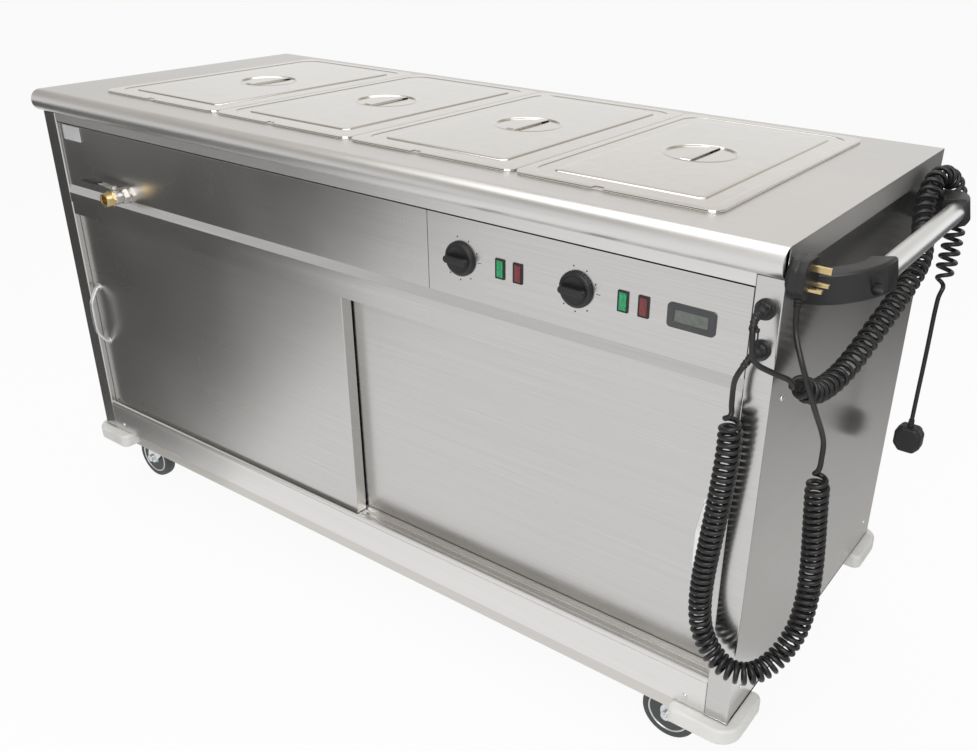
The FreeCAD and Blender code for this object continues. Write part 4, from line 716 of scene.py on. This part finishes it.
def dialShape(look, centre):
    # A round skirt with a fluted edge, a dished face and a tall bar grip whose top is rounded.
    angle = np.linspace(0, 2 * math.pi, 4 * look["flutes"], endpoint=False)
    flute = look["fluteDepth"] * np.cos(look["flutes"] * angle)
    outwards = np.stack([np.cos(angle), np.sin(angle)], axis=-1)
    skirt = [lifted((radius + flute * share)[:, None] * outwards, height)
             for radius, height, share in look["skirt"]]
    bar = []
    for share in np.linspace(0, 1, 9):
        swell = math.cos(share * math.pi / 2) ** 0.35
        length, width = look["grip"][0] * (0.88 + 0.12 * swell), look["grip"][1] * (0.62 + 0.38 * swell)
        height = look["foot"] + (look["reach"] - look["foot"]) * math.sin(share * math.pi / 2)
        bar.append(lifted(roundRing(length, width, width * 0.49, 6), height))
    return together(stacked(skirt, "front", centre), stacked(bar, "front", centre))


markLook = {"turns": (100, 62, 24, -56, -92, -128), "away": 0.0325, "dot": 0.00125, "dashAway": 0.0345,
            "dash": (0.0065, 0.0010), "pointer": (0.006, 0.0018), "pointerPlace": (-0.0225, -0.0066, 0)}


def markShape(look, centre):
    # Printed dots round a dial, with one short dash at the side away from the pointer.
    dot = [(look["dot"], -0.0002), (look["dot"], 0.0001)]
    turns = np.radians(look["turns"])
    ways = np.stack([np.cos(turns), 0 * turns, np.sin(turns)], axis=-1)
    marks = [turnedShape(dot, "front", centre + look["away"] * way, 16) for way in ways]
    marks.append(padShape(*look["dash"], 0.0003, 0.0001, 0.00003, "front", centre + (look["dashAway"], 0, 0),
                          start=-0.0002, perCorner=3))
    return together(*marks)


for hand, centre in dialSpots.items():
    makePiece(f"dial{hand.title()}", dialShape(dialLook, centre), "blackPlastic", f"{hand}_dial",
              [f"knob_{hand}"])
    pointer = padShape(*markLook["pointer"], 0.0004, 0.0003, 0.0001, "front", centre + markLook["pointerPlace"],
                       start=-0.0006, perCorner=3)
    makePiece(f"pointer{hand.title()}", pointer, "whiteInk", f"{hand}_dial")
    makePiece(f"dialMarks{hand.title()}", markShape(markLook, centre + (0, 0.0005, 0)), "blackInk", "cabinet")
print("dials made")


# Plugs.
plugLook = {  # steps: (inset, height) of each ring from the back of the body up to where its face rounds over
    "width": 0.046, "height": 0.048, "thick": 0.025, "edge": 0.0028, "soft": 0.0035,
    "steps": [(0.0012, 0.0), (0.0, 0.0012), (0.0, 0.009), (0.0005, 0.0105), (0.0005, 0.0115), (0.0, 0.013),
              (0.0, 0.0185)],
    "round": 0.0065, "sleeve": (0.0058, 0.0046), "ribDepth": 0.0007, "ribs": 4,
}


def plugOutline(look, inset):
    # The plug's face: wide in the middle, drawn in above and towards the lead, with soft corners.
    a, b = look["width"] / 2 - inset, look["height"] / 2 - inset
    corners = np.array([(-a + 0.009, -b), (a - 0.009, -b), (a, -b + 0.012), (a, b - 0.012), (a - 0.010, b),
                        (-a + 0.010, b), (-a, b - 0.012), (-a, -b + 0.012)])
    ways = [np.roll(corners, shift, axis=0) - corners for shift in (1, -1)]
    one, two = (corners + look["soft"] * way / np.linalg.norm(way, axis=1)[:, None] for way in ways)
    share = np.linspace(0, 1, 5)[None, :, None]
    ends = (1 - share) ** 2 * one[:, None] + share ** 2 * two[:, None]
    return (ends + 2 * share * (1 - share) * corners[:, None]).reshape(-1, 2)


def plugShape(look, relief):
    # The body stands on its back, with its face rounded over by a quarter turn. The ribbed sleeve, whose radius
    # falls along the lead, leaves it at the bottom.
    steps = look["steps"] + [(look["edge"] * (1 - math.cos(turn)) + 0.002 * math.sin(turn),
                              look["steps"][-1][1] + look["round"] * math.sin(turn))
                             for turn in np.linspace(0.3, math.pi / 2, 5)]
    body = stacked([lifted(plugOutline(look, inset), height) for inset, height in steps], "front", (0, 0, 0))
    share = np.linspace(0, 1, 40)
    bottom = -look["height"] / 2
    down = np.linspace(bottom + 0.002, bottom - relief, len(share))
    line = np.stack([0 * share, np.full(len(share), -look["thick"] / 2), down], axis=-1)
    wide, narrow = look["sleeve"]
    rib = (np.cos(2 * math.pi * look["ribs"] * share) > 0.2) * (share > 0.2)
    radius = wide + (narrow - wide) * share - look["ribDepth"] * rib
    return together(body, sweptShape(line, circleRing(1.0, 24), scale=radius))


def turnedRound(shape, rows, centre):
    # A shape with its own axes turned to the given ones, set at a centre.
    return shape[0] @ np.array(rows, float) + centre, shape[1], shape[2]


plugSpots = {
    "leadA": {"rows": ((0, -1, 0), (1, 0, 0), (0, 0, 1)), "centre": spot(786 + 12.5, 1, 868),
              "relief": 0.016, "nodes": ("plug_a",), "pins": "plug_a_pins"},
    "leadB": {"rows": ((-1, 0, 0), (0, 1, 0), (0, 0, -1)), "centre": spot(822, 547 + 12.5, 420),
              "relief": 0.014, "nodes": ("plug_b",), "pins": "plug_b_pins"},
}
for name, where in plugSpots.items():
    shape = turnedRound(plugShape(plugLook, where["relief"]), where["rows"], where["centre"])
    plug = makePiece(name + "Plug", shape, "blackPlastic", "cabinet", where["nodes"])


# Folded sheet: the CAD solids with their long folds rounded.
foldLook = {"least": 0.0035, "short": 0.004, "angle": 40, "crease": 35}
foldedSheets = {  # finish, and the radius of the folds
    "left_side_panel": ("endSteel", 0.0020), "right_side_panel": ("endSteel", 0.0020),
    "back_panel": ("endSteel", 0.0015), "left_door": ("doorSteel", 0.0012), "right_door": ("doorSteel", 0.0012),
    "fascia_panel": ("frontSteel", 0.0007), "control_panel": ("frontSteel", 0.0007),
    "door_head": ("frontSteel", 0.0012), "bottom_rail": ("railSteelPaintedLight", 0.0012),
    "handle_brackets": ("blackPlastic", 0.0011),
}


def foldedPiece(name, material, radius, look):
    # A copy of the node's mesh with its points merged and its flat faces joined. An edge is rounded where it
    # stands out, turns sharply and lies between two faces that are both broader than a sheet's own edge.
    mesh = bmesh.new()
    mesh.from_mesh(nodes[name].data)
    bmesh.ops.remove_doubles(mesh, verts=mesh.verts, dist=0.00001)
    bmesh.ops.dissolve_limit(mesh, angle_limit=math.radians(0.3), verts=mesh.verts, edges=mesh.edges)
    broad = {face: face.calc_area() / max(edge.calc_length() for edge in face.edges) > look["least"]
             for face in mesh.faces}
    folds = [edge for edge in mesh.edges
             if len(edge.link_faces) == 2 and edge.is_convex and edge.calc_length() > look["short"]
             and edge.calc_face_angle(0) > math.radians(look["angle"])
             and all(broad[face] for face in edge.link_faces)]
    bmesh.ops.bevel(mesh, geom=folds, offset=radius, segments=3, profile=0.5, affect="EDGES",
                    clamp_overlap=False)
    data = bpy.data.meshes.new(name + "Folded")
    mesh.to_mesh(data)
    mesh.free()
    data.shade_smooth()
    data.set_sharp_from_angle(angle=math.radians(look["crease"]))
    data.materials.clear()
    data.materials.append(finish[material])
    piece = bpy.data.objects.new(name + "Folded", data)
    bpy.context.scene.collection.objects.link(piece)
    piece.modifiers.new("evenShading", "WEIGHTED_NORMAL").keep_sharp = True
    return piece


def camelName(name):
    first, *rest = name.split("_")
    return first + "".join(word.title() for word in rest)


foldBodies = {"left_door": "left_sliding_door", "right_door": "right_sliding_door"}
for name, (material, radius) in foldedSheets.items():
    piece = foldedPiece(name, material, radius, foldLook)
    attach(piece, foldBodies.get(name, "cabinet"))
    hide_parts(name)
    piece.name = camelName(name)
print("folded sheet made")


# Track dressing: a slim strip along the top of the rail's face, and low ribs on the track floor.
trackLook = {  # millimetres; strip: from and to above the floor, and how far it stands out
    "reach": (-731, 731), "strip": (215.5, 225.0, 0.5), "ribs": (14.5, 26.5), "rib": (1.6, 1.4), "floor": 228,
    "sunk": 0.3,
}


def barAlong(x, y, z, corner):
    # A bar along the front, given by its ranges, with its long edges rounded.
    middle = spot((x[0] + x[1]) / 2, (y[0] + y[1]) / 2, (z[0] + z[1]) / 2)
    ring = roundRing((y[1] - y[0]) / 1000, (z[1] - z[0]) / 1000, corner / 1000, 4)
    ends = np.linspace(-0.5, 0.5, 3)[:, None] * (x[1] - x[0]) / 1000
    rings = np.stack(np.broadcast_arrays(ends, ring[:, 0], ring[:, 1]), axis=-1)
    return gridShape(rings + middle)


low, high, proud = trackLook["strip"]
wide, tall = trackLook["rib"]
sunk, floor = trackLook["sunk"], trackLook["floor"]
trackBars = [barAlong(trackLook["reach"], (-proud, sunk), (low, high), 0.2)]
trackBars += [barAlong(trackLook["reach"], (y, y + wide), (floor - sunk, floor + tall), 0.3)
              for y in trackLook["ribs"]]
# The track dressing takes the rail's lighter steel, which is painted light.
makePiece("doorTrack", together(*trackBars), "railSteelPaintedLight", "cabinet")
print("track dressed")


# Bow handles: a flat strip bent into a bow.
bowLook = {"width": 0.009, "thick": 0.0042, "reach": 0.0268, "low": 378, "high": 505, "lean": 33,
           "foot": [(0.0075, -0.0002), (0.0075, 0.0008), (0.0068, 0.0012)]}
bowSpots = {"left": (-712, 11, "left_sliding_door"), "right": (688, 36, "right_sliding_door")}


def bowShape(look, x, face):
    # The strip's middle line: out from the door, up along the bar and back, with its corners cut round twice.
    half = look["thick"] * 500
    reach, low, high = look["reach"] * 1000 - half, look["low"] + half, look["high"] - half
    near = [(0, 0), (-3, 0), (-8, 3), (-reach + 3, look["lean"] - 8), (-reach, look["lean"] + 4)]
    corners = [(y, low + z) for y, z in near] + [(y, high - z) for y, z in near[::-1]]
    line = smoothLine([spot(x, face + y, z) for y, z in corners], 90)
    return sweptShape(line, roundRing(look["thick"], look["width"], 0.0014, 4), hint=(1, 0, 0))


for side, (x, face, body) in bowSpots.items():
    feet = [turnedShape(bowLook["foot"], "front", spot(x, face, z), 32)
            for z in (bowLook["low"] + 2.1, bowLook["high"] - 2.1)]
    makePiece(f"{side}BowHandle", together(bowShape(bowLook, x, face), *feet), "satinAlloy", body,
              [f"{side}_door_handle"])
print("bow handles made")


# Castor wheels: a tyre and a dished hub, turned about the axle. Each has a face across its first and last ring,
# and the tyre's faces cover the hub wherever it stands less than 10 mm from the wheel's middle.
wheelLook = {  # one half of each profile as (radius, height); the other half is its mirror
    "places": {"front_left": (-738, 90.5), "front_right": (638, 90.5), "back_left": (-738, 522.5),
               "back_right": (638, 522.5)},
    "axle": 50,
    "tyre": [(0.0499, 0.0045), (0.0492, 0.0082), (0.0478, 0.0108), (0.0450, 0.0122), (0.0398, 0.0116),
             (0.0385, 0.0100)],
    "side": [(0.0384, 0.0098), (0.0372, 0.0112), (0.0362, 0.0114), (0.0352, 0.0104), (0.0340, 0.0086),
             (0.0328, 0.0080), (0.0300, 0.0080), (0.0290, 0.0090), (0.0270, 0.0096), (0.0220, 0.0098),
             (0.0150, 0.0100), (0.0128, 0.0104), (0.0120, 0.0122), (0.0106, 0.0128), (0.0075, 0.0128),
             (0.0068, 0.0120)],
}


def bothSides(half, middle=()):
    return [(radius, -height) for radius, height in half[::-1]] + list(middle) + half


for place, (x, y) in wheelLook["places"].items():
    centre = spot(x, y, wheelLook["axle"])
    tyre = turnedShape(bothSides(wheelLook["tyre"], [(0.05, 0.0)]), "front", centre, 72)
    makePiece(camelName(f"tyre_{place}"), tyre, "greyTyre", f"roller_{place}", [f"castor_wheel_{place}"],
              crease=50)
    hub = turnedShape(bothSides(wheelLook["side"]), "front", centre, 64)
    makePiece(camelName(f"hub_{place}"), hub, "hubPlate", f"roller_{place}")
print("castor wheels made")


# Drain valve, brass outlet and lever.
drainLook = {  # x, face and z in millimetres; profiles as (radius, height from the face)
    "x": -541, "z": 729.5, "face": 4, "stem": -19, "above": 17,
    "body": [(0.0105, -0.004), (0.0105, 0.0125), (0.0118, 0.0132), (0.0122, 0.0150), (0.0128, 0.0180),
             (0.0130, 0.0225), (0.0128, 0.0262), (0.0120, 0.0285), (0.0112, 0.0298)],
    "collar": [(0.0150, -0.0002), (0.0150, 0.0010), (0.0140, 0.0016)],
    "boss": [(0.0075, 0.0095), (0.0075, 0.0138), (0.0060, 0.0148), (0.0040, 0.0150), (0.0040, 0.0166)],
    "mouth": [(0.0124, 0.0474), (0.0116, 0.0480), (0.0090, 0.0480), (0.0083, 0.0474), (0.0080, 0.0450),
              (0.0079, 0.0345)],
}


def threadProfile(radius, start, stop, turns):
    # A screw thread drawn as rings: the radius rises and falls once for each turn.
    level = np.linspace(start, stop, turns * 4 + 1)
    return [(radius - 0.0005 * (k % 4 in (0, 1)), at) for k, at in enumerate(level)]


valveFace = spot(drainLook["x"], drainLook["face"], drainLook["z"])
stem = spot(drainLook["x"], drainLook["stem"], drainLook["z"])
valve = together(
    turnedShape(drainLook["collar"], "front", valveFace, 48),
    hexShape(0.0275, 0.0128, 0.0014, "front", valveFace, start=0.0016),
    turnedShape(drainLook["body"], "front", valveFace, 48),
    turnedShape(drainLook["boss"], "top", stem, 32),
)
makePiece("drainValveBody", valve, "dullChrome", "cabinet", ["drain_valve"], crease=30)
spout = [(0.0118, 0.0350), (0.0129, 0.0362)] + threadProfile(0.0130, 0.0366, 0.0462, 4) + drainLook["mouth"]
outlet = together(hexShape(0.0262, 0.0355, 0.0010, "front", valveFace, start=0.0298),
                  turnedShape(spout, "front", valveFace, 48))
makePiece("drainSpout", outlet, "brassMetal", "cabinet", ["drain_outlet"], crease=30)


def leverShape():
    # A pressed strip from the stem out along the front: it narrows past the stem, steps up once and ends round.
    share = np.linspace(0, 1, 40)
    level = 0.0008 + 0.0022 * easing((share - 0.35) / 0.3)
    width = 0.0070 - 0.0014 * easing((share - 0.15) / 0.3)
    width = width * np.sqrt(np.clip(1 - ((share - 0.14) / 0.14).clip(-1, 0) ** 2, 0.02, 1))
    across, up = np.array([(-1, 0.25), (-0.9, 1), (0.9, 1), (1, 0.25), (1, -0.25), (0.9, -1), (-0.9, -1),
                           (-1, -0.25)]).T
    rings = np.broadcast_arrays((0.006 - 0.052 * share)[:, None], across * width[:, None],
                                level[:, None] + up * 0.0012)
    return gridShape(np.stack(rings, axis=-1))


def leverGripShape():
    # The dipped grip over the strip's far part: a flat oval, fuller in the middle, closed round at both ends.
    share = np.linspace(0, 1, 36)[:, None]
    swell = np.sqrt(np.clip(1 - (2 * share - 1) ** 8, 0.03, 1))
    width = (0.0072 + 0.0012 * np.sin(math.pi * share)) * swell
    ring = circleRing(1.0, 24)
    across, up = (np.sign(ring) * np.abs(ring) ** 0.7).T
    rings = np.broadcast_arrays(-0.038 - 0.0625 * share, across * width, 0.0028 + up * 0.0030 * swell)
    return gridShape(np.stack(rings, axis=-1))


leverPlace = spot(drainLook["x"], drainLook["stem"], drainLook["z"] + drainLook["above"])
leverNut = hexShape(0.0095, 0.0044, 0.0006, "top", (0, 0, 0), start=0.0016)
makePiece("drainLeverStrip", moved(together(leverShape(), leverNut), leverPlace), "dullChrome",
          "drain_handle", ["drain_lever"], crease=32)
makePiece("drainLeverGrip", moved(leverGripShape(), leverPlace), "blackPlastic", "drain_handle")
print("drain valve made")


# Cable glands, and the tie round the upper lead.
glandLook = {
    "heights": (765, 818), "x": 748.6, "y": 0.2,
    "profile": [(0.0128, 0.0), (0.0132, 0.0006), (0.0132, 0.0030), (0.0126, 0.0040), (0.0108, 0.0046),
                (0.0106, 0.0075), (0.0102, 0.0105), (0.0092, 0.0135), (0.0078, 0.0158), (0.0066, 0.0172),
                (0.0060, 0.0178), (0.0048, 0.0178)],
}
glandPlaces = [spot(glandLook["x"], glandLook["y"], z) for z in glandLook["heights"]]
glands = [turnedShape(glandLook["profile"], "front", place, 40) for place in glandPlaces]
glands += [hexShape(0.0205, 0.0095, 0.0012, "front", place, start=0.0035, turn=0.3) for place in glandPlaces]
makePiece("cableGlands", together(*glands), "blackPlastic", "cabinet", ["cable_glands"],
          crease=32)

tieLook = {
    "place": spot(750.5, -36, 806), "radius": 0.0050, "band": (0.0011, 0.0026, 0.0004, 2),
    "head": (0.0058, 0.001, -0.001),
    "tail": [(0.006, 0, -0.002), (0.0068, 0, -0.008), (0.0062, 0.001, -0.014), (0.0050, 0.001, -0.018)],
}
tieTurn = np.linspace(0, 2 * math.pi, 37)[:36]
tieRing = np.stack([np.cos(tieTurn), 0.35 * np.sin(tieTurn), np.sin(tieTurn)], axis=-1) * tieLook["radius"]
tieBand = roundRing(*tieLook["band"])
tie = together(
    sweptShape(tieRing, tieBand),
    moved(padShape(0.0046, 0.0052, 0.0010, 0.0040, 0.0008, "front", (0, 0, 0)), tieLook["head"]),
    sweptShape(smoothLine(tieLook["tail"], 20), tieBand),
)
makePiece("cableTie", moved(tie, tieLook["place"]), "blackPlastic", "cabinet", crease=50)
print("glands made")


# Lamps: a frame with its room for the lens, and a ribbed lens that stands a little proud.
lampLook = {"frame": (0.0165, 0.030), "lens": (0.0108, 0.0246), "proud": 0.0024, "face": 4, "height": 779,
            "rib": 0.0012, "ribs": (-0.0036, -0.0012, 0.0012, 0.0036), "kinds": ("green", "red")}


def frameShape(outer, inner, corner, profile, facing, centre):
    # A frame: rings go up the outside, over the face and down the inside. profile is (outwards share, height).
    rings = []
    for share, height in profile:
        size = np.array(outer) + (np.array(inner) - np.array(outer)) * share
        rings.append(lifted(roundRing(*size, corner * (1 - 0.7 * share), 4), height))
    return stacked(rings, facing, centre)


def lampCentres(boxNode):
    # The middles of a node's separate solids along the front, from its points.
    vertices = nodes[boxNode].data.vertices
    points = np.zeros(len(vertices) * 3, np.float32)
    vertices.foreach_get("co", points)
    across = np.unique(np.round(points.reshape(-1, 3)[:, 0], 5))
    gaps = np.nonzero(np.diff(across) > 0.02)[0]
    starts, stops = np.r_[across[0], across[gaps + 1]], np.r_[across[gaps], across[-1]]
    return (starts + stops) / 2


lampFace = spot(0, lampLook["face"], lampLook["height"])
frameSteps = [(0.0, -0.0005), (0.0, 0.0012), (0.06, 0.0018), (0.18, 0.0020), (0.72, 0.0020), (0.9, 0.0017),
              (1.0, 0.0010), (1.0, -0.0005)]
lampPlaces = {kind: [np.array([x, *lampFace[1:]]) for x in lampCentres(f"{kind}_lenses")]
              for kind in lampLook["kinds"]}
lampFrames = [frameShape(lampLook["frame"], lampLook["lens"], 0.0012, frameSteps, "front", place)
              for places in lampPlaces.values() for place in places]
makePiece("lampFrames", together(*lampFrames), "blackPlastic", "cabinet", ["lamp_bezels"],
          crease=30)
for kind, places in lampPlaces.items():
    lenses = [padShape(*lampLook["lens"], 0.0006, lampLook["proud"], 0.0005, "front", place, start=-0.0005,
                       perCorner=3) for place in places]
    ribs = [padShape(lampLook["rib"], lampLook["lens"][1] - 0.0016, 0.0004, 0.0003, 0.00025, "front",
                     place + (shift, 0.00015 - lampLook["proud"], 0), perCorner=3, steps=2)
            for place in places for shift in lampLook["ribs"]]
    makePiece(f"{kind}Lenses", together(*lenses, *ribs), f"{kind}Lens", "cabinet", [f"{kind}_lenses"],
              crease=30)
print("lamps made")


# Display: a rounded housing, a sunk frame and a plain window.
displayLook = {"outer": (0.068, 0.033), "inner": (0.0472, 0.0166), "corner": 0.0050, "place": (652, 4, 779),
               "steps": [(0.0, -0.0005), (0.0, 0.0018), (0.03, 0.0026), (0.09, 0.0029), (0.70, 0.0030),
                         (0.84, 0.0027), (0.92, 0.0018), (1.0, 0.0016), (1.0, 0.0003)]}
displayPlace = spot(*displayLook["place"])
housing = frameShape(displayLook["outer"], displayLook["inner"], displayLook["corner"], displayLook["steps"],
                     "front", displayPlace)
makePiece("displayHousing", housing, "bezelPlastic", "cabinet", ["display_bezel"], crease=30)
wide, high = (side + 0.0002 for side in displayLook["inner"])
glass = padShape(wide, high, 0.0008, 0.0013, 0.0002, "front", displayPlace, start=0.0002, perCorner=3)
makePiece("displayGlass", glass, "windowGlass", "cabinet", ["display_window"], crease=30)
print("display made")


# The bare plate at the fascia's left end, and the few screws that show.
plateLook = {"place": (-688, 3.2, 825), "size": (0.056, 0.028)}
plate = padShape(*plateLook["size"], 0.0015, 0.0010, 0.0003, "front", spot(*plateLook["place"]), perCorner=4)
makePiece("blankPlate", plate, "labelPlate", "cabinet")


screwProfile = [(1.0, -0.0002, 0), (1.0, 0.0004, 0), (0.94, 0.0011, 0), (0.80, 0.0017, 0), (0.58, 0.0021, 0),
                (0.50, 0.0022, 0.6), (0.30, 0.0023, 1.0), (0.12, 0.0020, 1.0)]  # share of radius, height, dent


def screwShape(facing, place, radius=0.0042):
    # A domed head with a shallow cross, drawn as a wave round its dished middle.
    angle = np.linspace(0, 2 * math.pi, 48, endpoint=False)
    cross = np.clip(np.cos(2 * angle) ** 8, 0, 1)
    rings = []
    for share, height, dent in screwProfile:
        rings.append(np.stack([radius * share * np.cos(angle), radius * share * np.sin(angle),
                               height - 0.0009 * dent * cross], axis=-1))
    return stacked(rings, facing, place)


screwPlaces = [("front", spot(699, 0, 183)), ("front", spot(-699, 0, 183))]
screwPlaces += [("end", spot(769, y, z)) for y in (40, 573) for z in (210, 690)]
screwPlaces += [("back", spot(x, 613, z)) for x in (-700, -350, 0, 350, 700) for z in (200, 860)]
screws = together(*[screwShape(facing, place) for facing, place in screwPlaces])
makePiece("panelScrews", screws, "brightPlate", "cabinet", crease=40)
print("small fittings made")


# Studio.
studioLook = {  # "rise" tones go with height, "side" tones with the direction that sideWay gives
    "floorColor": (0.92, 0.92, 0.92), "whiten": 0.93, "shade": 0.5,
    "rise": [(0.0, 1.0), (0.50, 1.0), (0.62, 0.97), (0.70, (0.66, 0.62, 0.57)),
             (0.80, (0.52, 0.48, 0.43)), (0.90, (0.78, 0.77, 0.75)), (1.0, 1.0)],
    "sideWay": (0.45, 0.89, 0.0), "side": [(0.0, 0.80), (0.35, 0.72), (0.6, 0.95), (1.0, 1.0)],
    "lights": {  # place, aim, size and power
        "keyLight": ((1.5, -2.3, 2.6), (0, 0, 0.6), (2.6, 2.0), 62),
        "topLight": ((-0.3, 0.1, 3.3), (0, 0, 0.6), (3.2, 2.2), 34),
    },
}


def addSoftLight(name, place, target, size, power):
    data = bpy.data.lights.new(name, "AREA")
    data.shape, data.size, data.size_y, data.energy = "RECTANGLE", size[0], size[1], power
    light = bpy.data.objects.new(name, data)
    bpy.context.scene.collection.objects.link(light)
    light.location = place
    light.rotation_euler = (Vector(target) - Vector(place)).to_track_quat("-Z", "Y").to_euler()
    return light


def backdropShare(tree):
    # 1 for rays from the eye, and for those that metal and glass send on.
    path = addNode(tree, "ShaderNodeLightPath").outputs
    seen = addMath(tree, "MAXIMUM", path["Is Camera Ray"], path["Is Glossy Ray"])
    return addMath(tree, "MAXIMUM", seen, path["Is Transmission Ray"])


def stagePlane(name, corners, material):
    mesh = bpy.data.meshes.new(name)
    mesh.from_pydata(corners, [], [tuple(range(len(corners)))])
    mesh.materials.append(material)
    plane = bpy.data.objects.new(name, mesh)
    bpy.context.scene.collection.objects.link(plane)
    return plane


def makeFloor(look):
    # A pale floor, mixed towards plain white for the eye, so that it stays white and keeps the soft shadow.
    material, tree, shader = newMaterial("studioFloor", Roughness=0.9)
    place = addNode(tree, "ShaderNodeTexCoord").outputs["Object"]
    mottle = addNoise(tree, place, 1.5, 3.0)
    low, high = (tuple(tone * share for tone in look["floorColor"]) for share in (0.995, 1.0))
    tree.links.new(addRamp(tree, mottle, [(0.3, low), (0.7, high)]), shader.inputs["Base Color"])
    white = addNode(tree, "ShaderNodeEmission", {"Color": (1, 1, 1, 1), "Strength": 1.0})
    share = addMath(tree, "MULTIPLY", backdropShare(tree), look["whiten"])
    mix = addNode(tree, "ShaderNodeMixShader", {0: share, 1: shader.outputs[0], 2: white.outputs[0]})
    tree.links.new(mix.outputs[0], tree.nodes["Material Output"].inputs["Surface"])
    stagePlane("studioFloor", [(-25, -25, 0), (25, -25, 0), (25, 25, 0), (-25, 25, 0)], material)


def makeCards(look):
    # Dark floor that only metal shows, as where a pale floor ends: it darkens away from its near edge.
    for name, (corners, way, near, far, greys) in look.items():
        material, tree, shader = newMaterial(name, Roughness=0.9)
        place = addNode(tree, "ShaderNodeTexCoord").outputs["Object"]
        share = addRange(tree, addVectorMath(tree, "DOT_PRODUCT", place, way), near, far)
        tree.links.new(addRamp(tree, share, greys), shader.inputs["Base Color"])
        card = stagePlane(name, corners, material)
        card.visible_camera = card.visible_diffuse = card.visible_shadow = False


cardLook = {  # corners, the way it darkens, where along that way it starts and ends, and its greys between them
    "leftCard": ([(-0.586, -0.40, 0.002), (-9, -0.40, 0.002), (-9, -6, 0.002), (-3.91, -6, 0.002)],
                 (-0.86, 0.51, 0), 0.33, 0.78,
                 [(0.0, 0.88), (0.07, 0.80), (0.22, 0.56), (0.45, 0.30), (1.0, 0.11)]),
    "backCard": ([(-8, 5.9, 0.002), (2.2, -0.88, 0.002), (9, -0.88, 0.002), (9, 9, 0.002), (-8, 9, 0.002)],
                 (0.55, 0.83, 0), 0.48, 3.0,
                 [(0.0, 0.88), (0.30, 0.66), (0.55, 0.42), (0.85, 0.15), (1.0, 0.11)]),
}


def makeWorld(look):
    # White to the eye. For reflections a pale room, greyer above the backdrop and bright overhead, and for
    # light the same room at the level that "shade" gives.
    world = bpy.data.worlds.new("studioWorld")
    bpy.context.scene.world = world
    world.use_nodes = True
    tree = world.node_tree
    sky = tree.nodes["Background"]
    way = addNode(tree, "ShaderNodeTexCoord").outputs["Generated"]
    height = addNode(tree, "ShaderNodeSeparateXYZ", {0: way}).outputs["Z"]
    side = addVectorMath(tree, "DOT_PRODUCT", way, look["sideWay"])
    rise, across = (addMath(tree, "MULTIPLY_ADD", value, 0.5, 0.5) for value in (height, side))
    riseTones, sideTones = addRamp(tree, rise, look["rise"]), addRamp(tree, across, look["side"])
    tones = addMix(tree, 1.0, riseTones, sideTones, "MULTIPLY")
    tree.links.new(tones, sky.inputs["Color"])
    path = addNode(tree, "ShaderNodeLightPath").outputs
    shiny = addMath(tree, "MAXIMUM", path["Is Glossy Ray"], path["Is Transmission Ray"])
    strength = addMath(tree, "MULTIPLY_ADD", shiny, 1 - look["shade"], look["shade"])
    tree.links.new(strength, sky.inputs["Strength"])
    white = addNode(tree, "ShaderNodeBackground", {"Color": (1, 1, 1, 1), "Strength": 1.0})
    shaders = {0: path["Is Camera Ray"], 1: sky.outputs[0], 2: white.outputs[0]}
    mix = addNode(tree, "ShaderNodeMixShader", shaders)
    tree.links.new(mix.outputs[0], tree.nodes["World Output"].inputs["Surface"])


bpy.context.scene.view_settings.view_transform = "Standard"
makeFloor(studioLook)
makeCards(cardLook)
makeWorld(studioLook)
for name, values in studioLook["lights"].items():
    addSoftLight(name, *values)
print("studio made")
